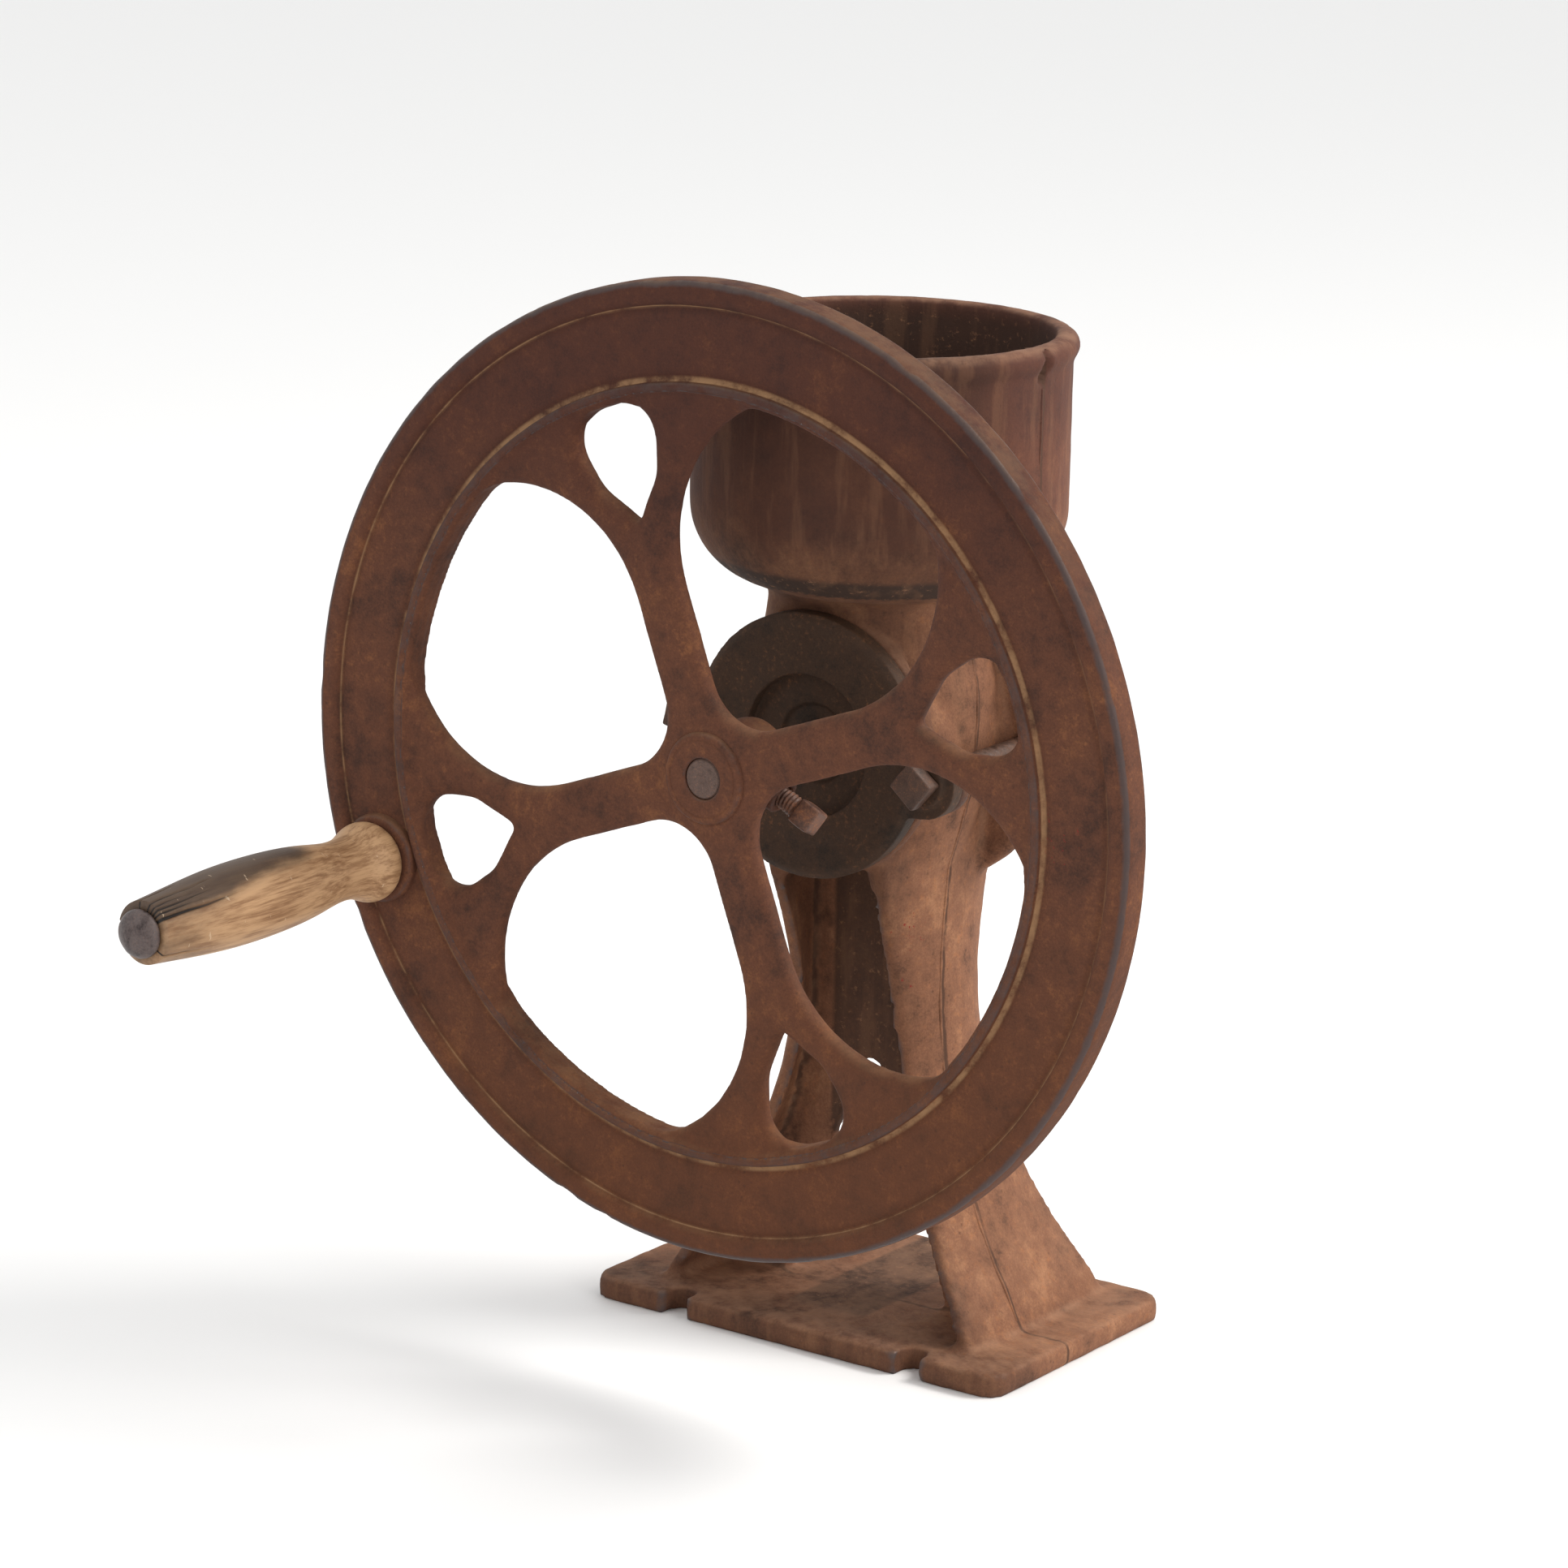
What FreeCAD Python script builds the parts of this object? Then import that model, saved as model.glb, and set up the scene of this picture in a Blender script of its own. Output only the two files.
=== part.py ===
import FreeCAD, Part

import math
import os

# Hand-cranked crushing mill: round hopper on a cast pedestal, flywheel with a crank handle in front.
# Millimetres.  Origin: centre of the base plate's underside.  +Z up, +Y along the shaft away from the
# flywheel, +X along the base plate's long edge.

Vec = FreeCAD.Vector
UP = Vec(0, 0, 1)

# ---------------------------------------------------------------- driving sizes
BASE_W = 252.0            # base plate along X
BASE_D = 160.0            # base plate along Y
BASE_T = 12.0
BASE_CORNER = 14.0
NOTCH_X = 71.5            # bolt notch centre from the middle of the base
NOTCH_W = 14.0
NOTCH_DEPTH = 15.0

SHAFT_Z = 312.5           # shaft axis above the base plate's underside
SHAFT_R = 10.0
AXIS_Y = -15.0            # hopper axis; the casting's parting plane
RUN_CLEAR = 0.05          # radial running clearance of every turning fit
SLIP_CLEAR = 0.3          # radial clearance of a bolt in its hole

HOPPER_H = 127.0          # hopper, from neck to rim
HOPPER_R = 94.0           # outside of the hopper wall
HOPPER_WALL = 9.0
HOPPER_FLOOR_R = 40.0     # outside rounding between wall and neck
BEAD_R = 6.5              # half-round bead round the hopper's rim
NECK_R = 54.0
NECK_RISE = 74.5          # underside of the hopper above the shaft axis
THROAT_R = 40.0

BARREL_R = 61.5           # widest part of the upright barrel
DRUM_WALL = 6.5           # horizontal drum round the worm and the plates
FRONT_Y = -66.0           # joint between body and front plate
CHAMBER_GAP = 6.0         # grinding chamber round the toothed plates
CHAMBER_DEPTH = 30.0
TROUGH_GAP = 3.0          # worm trough round the worm
BODY_LEN = 80.0           # front joint to the rear flange
REAR_T = 12.0
REAR_R = 88.0
BOSS_R = 21.0             # rear bearing boss
BOSS_LEN = 46.0

FOOT_MARGIN = 30.0        # base plate's end to the leg's widest line
WAIST_X = 42.0            # half width of the pedestal at its waist
WALL_T = 9.0
WEB_T = 8.0
ARCH_Z = 136.0            # top of the arch between the legs
ARCH_R = 9.0
ARCH_FOOT_X = 50.0

WHEEL_R = 241.0
WHEEL_Y = -151.0          # middle plane of the flywheel
RIM_W = 56.0              # radial width of the flywheel's rim
RIM_T = 18.0
WEB_THICK = 12.0
SPOKE_COUNT = 4
SPOKE_TURN = 20.5         # first spoke, degrees above +X seen from the front
SPOKE_HALF = 13.9         # half width of a spoke beside the big windows
BELLY_R = 73.8            # roundings of a big window: beside the spoke,
CORNER_R = 23.1           # under the rim,
TIP_R = 29.1              # and at the hub
BELLY_IN = 94.0           # middle of the belly's rounding inside the rim
TIP_GAP = 9.0             # hub to the nearest point of a big window
HUB_R = 22.8
HUB_PROUD = 10.0          # hub in front of the wheel's middle plane
HUB_LEN = 45.0
SET_ANGLE = -25.0         # set screw, degrees from +X seen from the front
SET_IN = 10.0             # set screw in from the hub's rear face
SET_R = 5.5

HANDLE_ANGLE = 200.2
HANDLE_IN = 26.0          # handle's axis inside the wheel's edge
HANDLE_LEN = 174.0
HANDLE_R = 21.0           # belly of the wooden handle
SPINDLE_R = 5.5
SPINDLE_HEAD_R = 12.3

PLATE_R = 67.0            # front plate
PLATE_T = 10.0
EAR_R = 18.5
BOLT_RADIUS = 70.0        # tie bolts from the shaft axis
BOLT_TURN = -6.0
BOLT_R = 6.35
NUT_ACROSS = 17.5

BURR_R = 48.0
BURR_T = 8.0
BURR_GAP = 2.0            # between the two toothed faces at rest
BURR_EYE_R = 24.0
TOOTH_COUNT = 18
BURR_SEAT = 6.0           # seat of the fixed plate behind the front joint
JOURNAL_R = 17.0          # front bearing boss
WORM_R = 31.0
WORM_CORE_R = 15.0
WORM_PITCH = 26.0
KEY_W = 5.0
GRIND_IN = 1.5            # travel of shaft and running plate towards the fixed plate
GRIND_OUT = 3.0           # and away from it
SCREW_R = 9.5             # regulating screw
SCREW_OUT = 26.0          # its length behind the lock nut
BUTTON_T = 4.0
LOCK_NUT_T = 10.0
LOCK_NUT_ACROSS = 28.0

# ---------------------------------------------------------------- sizes that follow from them

NECK_Z = SHAFT_Z + NECK_RISE
RIM_Z = NECK_Z + HOPPER_H                            # top of the hopper
CHAMBER_R = BURR_R + CHAMBER_GAP
DRUM_R = CHAMBER_R + DRUM_WALL
TROUGH_R = WORM_R + TROUGH_GAP
REAR_Y = FRONT_Y + BODY_LEN                          # front face of the rear flange
BOSS_END_Y = REAR_Y + REAR_T + BOSS_LEN
HUB_FRONT_Y = WHEEL_Y - HUB_PROUD
HUB_REAR_Y = HUB_FRONT_Y + HUB_LEN
SET_Y = HUB_REAR_Y - SET_IN
HANDLE_RADIUS = WHEEL_R - HANDLE_IN                  # crank throw
BURR_Y = FRONT_Y + BURR_SEAT                         # seat of the fixed plate on the front plate
FIXED_FACE_Y = BURR_Y + BURR_T                       # teeth of the fixed plate
RUNNER_FACE_Y = FIXED_FACE_Y + BURR_GAP              # teeth of the running plate
RUNNER_BACK_Y = RUNNER_FACE_Y + BURR_T
JOURNAL_END_Y = RUNNER_FACE_Y - GRIND_IN - 1.5        # clear of the running plate at its nearest
WORM_END_Y = REAR_Y - GRIND_OUT - 3.0
SHAFT_END_Y = REAR_Y + REAR_T + 18.0
SCREW_END_Y = BOSS_END_Y + LOCK_NUT_T + SCREW_OUT

# ---------------------------------------------------------------- helpers


def outline(points):
    """Closed face from 2D points; a pair of points is an arc through the first to the second."""
    edges = []
    here = Vec(*points[0], 0)
    for item in points[1:] + [points[0]]:
        if isinstance(item[0], tuple):
            middle, end = Vec(*item[0], 0), Vec(*item[1], 0)
            edges.append(Part.Arc(here, middle, end).toShape())
        else:
            end = Vec(*item, 0)
            if end.distanceToPoint(here) < 1e-6:
                continue
            edges.append(Part.LineSegment(here, end).toShape())
        here = end
    return Part.Face(Part.Wire(edges))


def polar(radius, angle):
    """Point at a radius and an angle in degrees."""
    return (radius * math.cos(math.radians(angle)), radius * math.sin(math.radians(angle)))


def hull(circles):
    """Face round circles (x, y, r) listed counter-clockwise, joined by their outer tangents."""
    count = len(circles)
    tangents = []
    for i in range(count):
        (x0, y0, r0), (x1, y1, r1) = circles[i], circles[(i + 1) % count]
        along = math.atan2(y1 - y0, x1 - x0)
        lean = math.acos((r0 - r1) / math.hypot(x1 - x0, y1 - y0))
        tangents.append(along - lean)
    points = []
    for i in range(count):
        x, y, r = circles[i]
        start, end = tangents[i - 1], tangents[i]
        while end < start:
            end += 2 * math.pi
        at = [(x + r * math.cos(a), y + r * math.sin(a)) for a in (start, (start + end) / 2, end)]
        points += [at[0], (at[1], at[2])]
    return outline(points)


def upright(face, y0, y1):
    """Plate between y0 and y1 from a face drawn in X and Z."""
    solid = face.extrude(Vec(0, 0, y1 - y0))
    solid.rotate(Vec(0, 0, 0), Vec(1, 0, 0), 90)
    solid.translate(Vec(0, y1, 0))
    return solid


def turned_y(points, x=0.0, z=SHAFT_Z):
    """Solid turned about an axis along Y through (x, z), from points (radius, y)."""
    solid = outline(points).revolve(Vec(0, 0, 0), Vec(0, 1, 0), 360)
    solid.translate(Vec(x, 0, z))
    return solid


def turned_z(points, y=AXIS_Y):
    """Solid turned about the upright axis through (0, y), from points (radius, z)."""
    solid = outline(points)
    solid.rotate(Vec(0, 0, 0), Vec(1, 0, 0), 90)
    solid = solid.revolve(Vec(0, 0, 0), UP, 360)
    solid.translate(Vec(0, y, 0))
    return solid


def rod_y(radius, y0, y1, x=0.0, z=SHAFT_Z):
    """Cylinder along Y."""
    return Part.makeCylinder(radius, y1 - y0, Vec(x, y0, z), Vec(0, 1, 0))


def block(x0, x1, y0, y1, z0, z1):
    """Box from its limits."""
    return Part.makeBox(x1 - x0, y1 - y0, z1 - z0, Vec(x0, y0, z0))


def square_y(across, y0, y1, x, z, turn=0.0):
    """Square bar along Y, turned about its own axis."""
    bar = block(x - across / 2, x + across / 2, y0, y1, z - across / 2, z + across / 2)
    bar.rotate(Vec(x, 0, z), Vec(0, 1, 0), turn)
    return bar


def spin(shape, angle):
    """Copy turned about the shaft axis, counter-clockwise seen from the front."""
    turned = shape.copy()
    turned.rotate(Vec(0, 0, SHAFT_Z), Vec(0, -1, 0), angle)
    return turned


def around(radius, angle):
    """X and Z of a point round the shaft axis."""
    x, z = polar(radius, angle)
    return x, SHAFT_Z + z


def eased(shape, radius, wanted):
    """Shape with the wanted edges rounded."""
    edges = [edge for edge in shape.Edges if wanted(edge)]
    return shape.makeFillet(radius, edges)


def save(name, shape):
    """Write one node."""
    clean = shape.removeSplitter()
    clean.exportStep("parts/" + name + ".step")
    print(name, len(clean.Solids), round(clean.Volume), clean.isValid())


BOLTS = [around(BOLT_RADIUS, BOLT_TURN), around(BOLT_RADIUS, BOLT_TURN + 180)]

# ---------------------------------------------------------------- frame casting


def base_plate():
    """Rounded plate with two open bolt notches in each long edge."""
    x, y, r = BASE_W / 2 - BASE_CORNER, BASE_D / 2 - BASE_CORNER, BASE_CORNER
    plate = hull([(x, -y, r), (x, y, r), (-x, y, r), (-x, -y, r)]).extrude(Vec(0, 0, BASE_T))
    plate = eased(plate, 3.0, lambda e: e.BoundBox.ZMin > BASE_T - 0.01)
    half = NOTCH_W / 2
    for side in (-1, 1):
        edge, inner = side * (BASE_D / 2 + 1), side * (BASE_D / 2 - NOTCH_DEPTH + half)
        for x in (-NOTCH_X, NOTCH_X):
            slot = block(x - half, x + half, min(edge, inner), max(edge, inner), -1, BASE_T + 1)
            round_end = Part.makeCylinder(half, BASE_T + 2, Vec(x, inner, -1))
            plate = plate.cut(slot.fuse(round_end))
    return plate


def leg_section(z, foot, head):
    """Bowed wall section at a height: foot and head are the shares of the two flares."""
    waist = 1 - foot - head
    seam = WAIST_X * waist + (BASE_W / 2 - FOOT_MARGIN) * foot + (WAIST_X + 6) * head
    front_y = -28 * waist - (BASE_D / 2 - 23) * foot - 62 * head
    rear_y = 27 * waist + (BASE_D / 2 - 15) * foot + 38 * head
    front_x = seam - 12 * (1 - foot) - 3 * foot
    rear_x = seam - 8 * (1 - foot) - 2 * foot
    outer = Part.Arc(Vec(rear_x, rear_y, z), Vec(seam, AXIS_Y, z), Vec(front_x, front_y, z))
    inner = Part.Arc(Vec(front_x - WALL_T * 0.75, front_y, z), Vec(seam - WALL_T, AXIS_Y, z),
                     Vec(rear_x - WALL_T * 0.75, rear_y, z))
    caps = [Part.LineSegment(outer.EndPoint, inner.StartPoint),
            Part.LineSegment(inner.EndPoint, outer.StartPoint)]
    return Part.Wire([outer.toShape(), caps[0].toShape(), inner.toShape(), caps[1].toShape()])


def pedestal():
    """Two bowed side walls joined by a web with an arch: an H section that splits into two legs."""
    top = SHAFT_Z - 28
    shares = [(0.0, 1.04, 0), (0.045, 0.95, 0), (0.11, 0.77, 0), (0.22, 0.5, 0), (0.365, 0.24, 0),
              (0.53, 0.07, 0.05), (0.70, 0, 0.4), (0.845, 0, 0.8), (1.0, 0, 1.0)]
    wires = [leg_section(BASE_T - 2 + share * (top - BASE_T + 2), foot, head) for share, foot, head in shares]
    right = Part.makeLoft(wires, True, False)
    left = right.mirror(Vec(0, 0, 0), Vec(1, 0, 0))
    foot_x = BASE_W / 2 - FOOT_MARGIN
    web_y = AXIS_Y + 3
    web_points = [(-foot_x + 4, BASE_T - 2), (foot_x - 4, BASE_T - 2), (WAIST_X + 12, BASE_T + 75),
                  (WAIST_X - 2, BASE_T + 145), (WAIST_X - 2, top), (-WAIST_X + 2, top),
                  (-WAIST_X + 2, BASE_T + 145), (-WAIST_X - 12, BASE_T + 75)]
    web = upright(outline(web_points), web_y, web_y + WEB_T)
    arch = hull([(-ARCH_FOOT_X, BASE_T, 0.5), (ARCH_FOOT_X, BASE_T, 0.5), (0, ARCH_Z - ARCH_R, ARCH_R)])
    web = web.cut(upright(arch, web_y - 1, web_y + WEB_T + 1))
    return right.fuse([left, web])


def hopper_profile():
    """Outside of hopper, neck and barrel as (radius, z)."""
    floor_z = NECK_Z + HOPPER_FLOOR_R
    c = HOPPER_R - HOPPER_FLOOR_R
    bead_z = RIM_Z - BEAD_R
    bead_x = HOPPER_R - 3.3
    return [(0, SHAFT_Z - 74), (44, SHAFT_Z - 74), ((52, SHAFT_Z - 50), (BARREL_R - 3, SHAFT_Z - 25)),
            ((BARREL_R, SHAFT_Z + 5), (BARREL_R, SHAFT_Z + 28)),
            ((NECK_R + 2.5, NECK_Z - 26), (NECK_R, NECK_Z - 8)),
            ((NECK_R + 2.2, NECK_Z - 2), (c + 8, NECK_Z + 0.8)),
            ((c + HOPPER_FLOOR_R * math.sin(math.pi / 4), floor_z - HOPPER_FLOOR_R * math.cos(math.pi / 4)),
             (HOPPER_R, floor_z)),
            (HOPPER_R, bead_z - BEAD_R - 1), (bead_x + 3, bead_z - BEAD_R + 0.5),
            ((bead_x + BEAD_R, bead_z), (bead_x, RIM_Z)),
            (HOPPER_R - HOPPER_WALL, RIM_Z), (0, RIM_Z)]


def hopper_inside():
    """Inside of the hopper down to the throat."""
    c = HOPPER_R - HOPPER_FLOOR_R
    inner = HOPPER_FLOOR_R - HOPPER_WALL
    r = HOPPER_R - HOPPER_WALL
    floor_z = NECK_Z + HOPPER_FLOOR_R
    slope = THROAT_R * 0.92
    return turned_z([(0, SHAFT_Z), (THROAT_R, SHAFT_Z), (THROAT_R, NECK_Z), (slope + 9, floor_z - inner),
                     ((c + inner * math.sin(math.pi / 4), floor_z - inner * math.cos(math.pi / 4)),
                      (r, floor_z)),
                     (r, RIM_Z - 2), (r + 0.7, RIM_Z + 1), (0, RIM_Z + 1)])


def ear_plate():
    """Outline of the front plate and of the flange it bolts to."""
    lobes = [(polar(BOLT_RADIUS, BOLT_TURN + side)) for side in (0, 180)]
    disc = Part.Face(Part.Wire(Part.makeCircle(PLATE_R)))
    for x, z in lobes:
        reach = math.degrees(math.atan2(z, x))
        root = polar(PLATE_R * 0.55, reach)
        disc = disc.fuse(hull([(*root, EAR_R + 7), (x, z, EAR_R)]))
    disc = disc.removeSplitter()
    disc.translate(Vec(0, SHAFT_Z, 0))
    return disc.Faces[0]


def frame_casting():
    """Base, pedestal, body, neck and hopper in one casting."""
    barrel = turned_z(hopper_profile())
    flat = block(-200, 200, -300, FRONT_Y, 0, NECK_Z - 4)
    barrel = barrel.cut(flat)
    drum = rod_y(DRUM_R, FRONT_Y, REAR_Y + 1)
    flange = upright(ear_plate(), FRONT_Y, FRONT_Y + 9)
    rear = turned_y([(0, REAR_Y), (REAR_R - 4, REAR_Y), ((REAR_R - 1.2, REAR_Y + 1.2), (REAR_R, REAR_Y + 4)),
                     (REAR_R, REAR_Y + REAR_T - 4),
                     ((REAR_R - 1.2, REAR_Y + REAR_T - 1.2), (REAR_R - 4, REAR_Y + REAR_T)),
                     (BOSS_R + 24, REAR_Y + REAR_T),
                     ((BOSS_R + 7, REAR_Y + REAR_T + 8), (BOSS_R, REAR_Y + REAR_T + 24)),
                     (BOSS_R, BOSS_END_Y - 2), (BOSS_R - 2, BOSS_END_Y), (0, BOSS_END_Y)])
    body = barrel.fuse([drum, flange, rear, pedestal(), base_plate()])
    chamber = rod_y(CHAMBER_R, FRONT_Y - 1, FRONT_Y + CHAMBER_DEPTH)
    trough = rod_y(TROUGH_R, FRONT_Y, REAR_Y)
    outlet = block(-24, 24, FRONT_Y - 1, AXIS_Y + 3, SHAFT_Z - 110, SHAFT_Z - CHAMBER_R + 12)
    bore = rod_y(SHAFT_R + RUN_CLEAR, REAR_Y - 1, SHAFT_END_Y + BUTTON_T + 4)
    thread = rod_y(SCREW_R + RUN_CLEAR, REAR_Y, BOSS_END_Y + 1)
    cuts = [hopper_inside(), chamber, trough, outlet, bore, thread]
    for x, z in BOLTS:
        cuts.append(rod_y(BOLT_R + SLIP_CLEAR, FRONT_Y - 1, REAR_Y + REAR_T + 1, x, z))
        cuts.append(rod_y(EAR_R, REAR_Y + REAR_T, REAR_Y + REAR_T + 30, x, z))
    return body.cut(cuts)


# ---------------------------------------------------------------- flywheel


def big_window():
    """Window between two spokes, drawn with its middle line along +X."""
    outer = WHEEL_R - RIM_W
    lean = math.radians(180 / SPOKE_COUNT)
    along, across = outer - BELLY_IN, SPOKE_HALF + BELLY_R
    cx = along * math.cos(lean) + across * math.sin(lean)
    cy = across * -math.cos(lean) + along * math.sin(lean)
    tip_x = HUB_R + TIP_GAP + TIP_R
    # the corner circle touches the rim circle and the belly circle from inside
    reach, span = outer - CORNER_R, BELLY_R - CORNER_R
    gap = math.hypot(cx, cy)
    turn = math.acos((reach ** 2 + gap ** 2 - span ** 2) / (2 * reach * gap))
    kx, ky = (reach * math.cos(math.atan2(cy, cx) + turn), reach * math.sin(math.atan2(cy, cx) + turn))
    tangent = math.atan2(cy, cx - tip_x) + math.acos((TIP_R - BELLY_R) / math.hypot(cx - tip_x, cy))

    def on(x, y, r, angle):
        return (x + r * math.cos(angle), y + r * math.sin(angle))

    def low(point):
        return (point[0], -point[1])

    tip = on(tip_x, 0, TIP_R, tangent)
    belly = on(cx, cy, BELLY_R, tangent)
    corner_angle = math.atan2(ky - cy, kx - cx)
    belly_end = on(cx, cy, BELLY_R, corner_angle)
    belly_mid = on(cx, cy, BELLY_R, (tangent + corner_angle) / 2)
    rim_angle = math.atan2(ky, kx)
    corner_mid = on(kx, ky, CORNER_R, (corner_angle + rim_angle) / 2)
    rim_end = on(0, 0, outer, rim_angle)
    return outline([low(tip), ((tip_x - TIP_R, 0), tip), belly, (belly_mid, belly_end), (corner_mid, rim_end),
                    ((outer, 0), low(rim_end)), (low(corner_mid), low(belly_end)),
                    (low(belly_mid), low(belly))])


def drop_window():
    """Drop-shaped window in a spoke's fork, drawn with the spoke along +X."""
    outer = WHEEL_R - RIM_W
    return hull([(outer - 53.5, 0, 3), (outer - 27, 0, 20.5)]).fuse(
        hull([(outer - 27, 0, 20.5), (outer - 17.5, -6.5, 17), (outer - 17.5, 6.5, 17)])).removeSplitter()


def flywheel():
    """Rim, forked spokes and hub, bored for shaft, set screw and handle spindle."""
    outer = WHEEL_R - RIM_W
    front, back = -RIM_T / 2, RIM_T / 2
    r = WHEEL_R
    rim = [(outer, front + 4), (outer + 2.5, front + 0.5),
           ((outer + 5.5, front - 0.8), (outer + 8.5, front + 0.3)),
           (outer + 12.5, front + 2.2), (r - 12, front + 2.2), (r - 9, front + 0.8),
           ((r - 5, front - 0.6), (r - 1.5, front + 1.2)), (r, front + 4), (r, back - 4),
           ((r - 1.2, back - 1.2), (r - 4, back)), (outer + 8, back), (outer, back - 4)]
    wheel = turned_y([(outer - 8, front + 4)] + rim + [(outer - 8, back - 4)])
    web = rod_y(outer + 4, -WEB_THICK / 2, WEB_THICK / 2)
    hub_front, hub_rear = HUB_FRONT_Y - WHEEL_Y, HUB_REAR_Y - WHEEL_Y
    half = WEB_THICK / 2
    hub = turned_y([(0, hub_front + 1.2), (HUB_R - 3, hub_front + 1.2), (HUB_R - 3, hub_front),
                    ((HUB_R - 1, hub_front + 0.3), (HUB_R, hub_front + 1.5)), (HUB_R + 0.5, -half - 2),
                    ((HUB_R + 3, -half + 0.5), (HUB_R + 11, -half + 2)), (HUB_R + 13, half - 2),
                    ((HUB_R + 3, half + 3), (HUB_R, half + 12)), (HUB_R - 1, hub_rear - 1.5),
                    (HUB_R - 2.5, hub_rear), (0, hub_rear)])
    wheel = wheel.fuse([web, hub])
    step = 360 / SPOKE_COUNT
    for k in range(SPOKE_COUNT):
        for face, turn in ((big_window(), SPOKE_TURN + step / 2), (drop_window(), SPOKE_TURN)):
            cutter = upright(face, -RIM_T, RIM_T)
            cutter.translate(Vec(0, 0, SHAFT_Z))
            wheel = wheel.cut(spin(cutter, turn + k * step))
    wheel.translate(Vec(0, WHEEL_Y, 0))
    boss = Part.makeCylinder(SET_R + 4.5, HUB_R + 4, Vec(0, SET_Y, SHAFT_Z), Vec(1, 0, 0))
    x, z = around(HANDLE_RADIUS, HANDLE_ANGLE)
    seat = rod_y(HANDLE_R + 2, WHEEL_Y - RIM_T / 2 - 2, WHEEL_Y, x, z)
    wheel = wheel.fuse([spin(boss, SET_ANGLE), seat])
    tap = Part.makeCylinder(SET_R, HUB_R + 10, Vec(0, SET_Y, SHAFT_Z), Vec(1, 0, 0))
    return wheel.cut([rod_y(SHAFT_R, HUB_FRONT_Y - 5, HUB_REAR_Y + 5), spin(tap, SET_ANGLE),
                      rod_y(SPINDLE_R, WHEEL_Y - 40, WHEEL_Y + 40, x, z)])


def set_screw():
    """Square-headed screw that locks the hub on the shaft."""
    stem = Part.makeCylinder(SET_R, 27, Vec(SHAFT_R, SET_Y, SHAFT_Z), Vec(1, 0, 0))
    head = block(SHAFT_R + 27, SHAFT_R + 39, SET_Y - 6.5, SET_Y + 6.5, SHAFT_Z - 6.5, SHAFT_Z + 6.5)
    head.rotate(Vec(0, SET_Y, SHAFT_Z), Vec(1, 0, 0), 20)
    return spin(stem.fuse(head), SET_ANGLE)


# ---------------------------------------------------------------- crank handle

HANDLE_X, HANDLE_Z = around(HANDLE_RADIUS, HANDLE_ANGLE)
HANDLE_ROOT_Y = WHEEL_Y - RIM_T / 2 - 2 - 0.4
HANDLE_TIP_Y = HANDLE_ROOT_Y - HANDLE_LEN


def handle():
    """Turned wooden grip with a ball root, a waist and a long belly."""
    shape = [(0.0, 0.86), (0.045, 0.99), (0.10, 0.84), (0.17, 0.75), (0.30, 0.87), (0.50, 1.0), (0.70, 0.98),
             (0.88, 0.86), (1.0, 0.77)]
    points = [Vec(HANDLE_R * share, HANDLE_ROOT_Y - along * HANDLE_LEN, 0) for along, share in shape]
    curve = Part.BSplineCurve()
    curve.interpolate(points)
    bore = SPINDLE_R + RUN_CLEAR
    inner_tip, inner_root = Vec(bore, HANDLE_TIP_Y, 0), Vec(bore, HANDLE_ROOT_Y, 0)
    wire = Part.Wire([curve.toShape(), Part.LineSegment(points[-1], inner_tip).toShape(),
                      Part.LineSegment(inner_tip, inner_root).toShape(),
                      Part.LineSegment(inner_root, points[0]).toShape()])
    solid = Part.Face(wire).revolve(Vec(0, 0, 0), Vec(0, 1, 0), 360)
    solid.translate(Vec(HANDLE_X, 0, HANDLE_Z))
    return solid


def spindle():
    """Iron bolt through handle and rim with a domed head."""
    head_y = HANDLE_TIP_Y - 0.4
    back_y = WHEEL_Y + RIM_T / 2 + 15
    r = SPINDLE_HEAD_R
    return turned_y([(0, head_y - 8.5), ((r * 0.72, head_y - 6.3), (r, head_y - 1.5)), (r, head_y),
                     (SPINDLE_R, head_y), (SPINDLE_R, back_y - 1), (SPINDLE_R - 1, back_y), (0, back_y)],
                    HANDLE_X, HANDLE_Z)


def spindle_nut():
    """Square nut behind the rim."""
    y = WHEEL_Y + RIM_T / 2 + 2
    nut = square_y(17.0, y, y + 9, HANDLE_X, HANDLE_Z, 30)
    return nut.cut(rod_y(SPINDLE_R, y - 1, y + 12, HANDLE_X, HANDLE_Z))


def spindle_washer():
    """Flat washer under the nut."""
    y = WHEEL_Y + RIM_T / 2
    disc = rod_y(13, y, y + 2, HANDLE_X, HANDLE_Z)
    return disc.cut(rod_y(SPINDLE_R + 0.2, y - 1, y + 3, HANDLE_X, HANDLE_Z))


# ---------------------------------------------------------------- front plate and tie bolts


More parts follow.
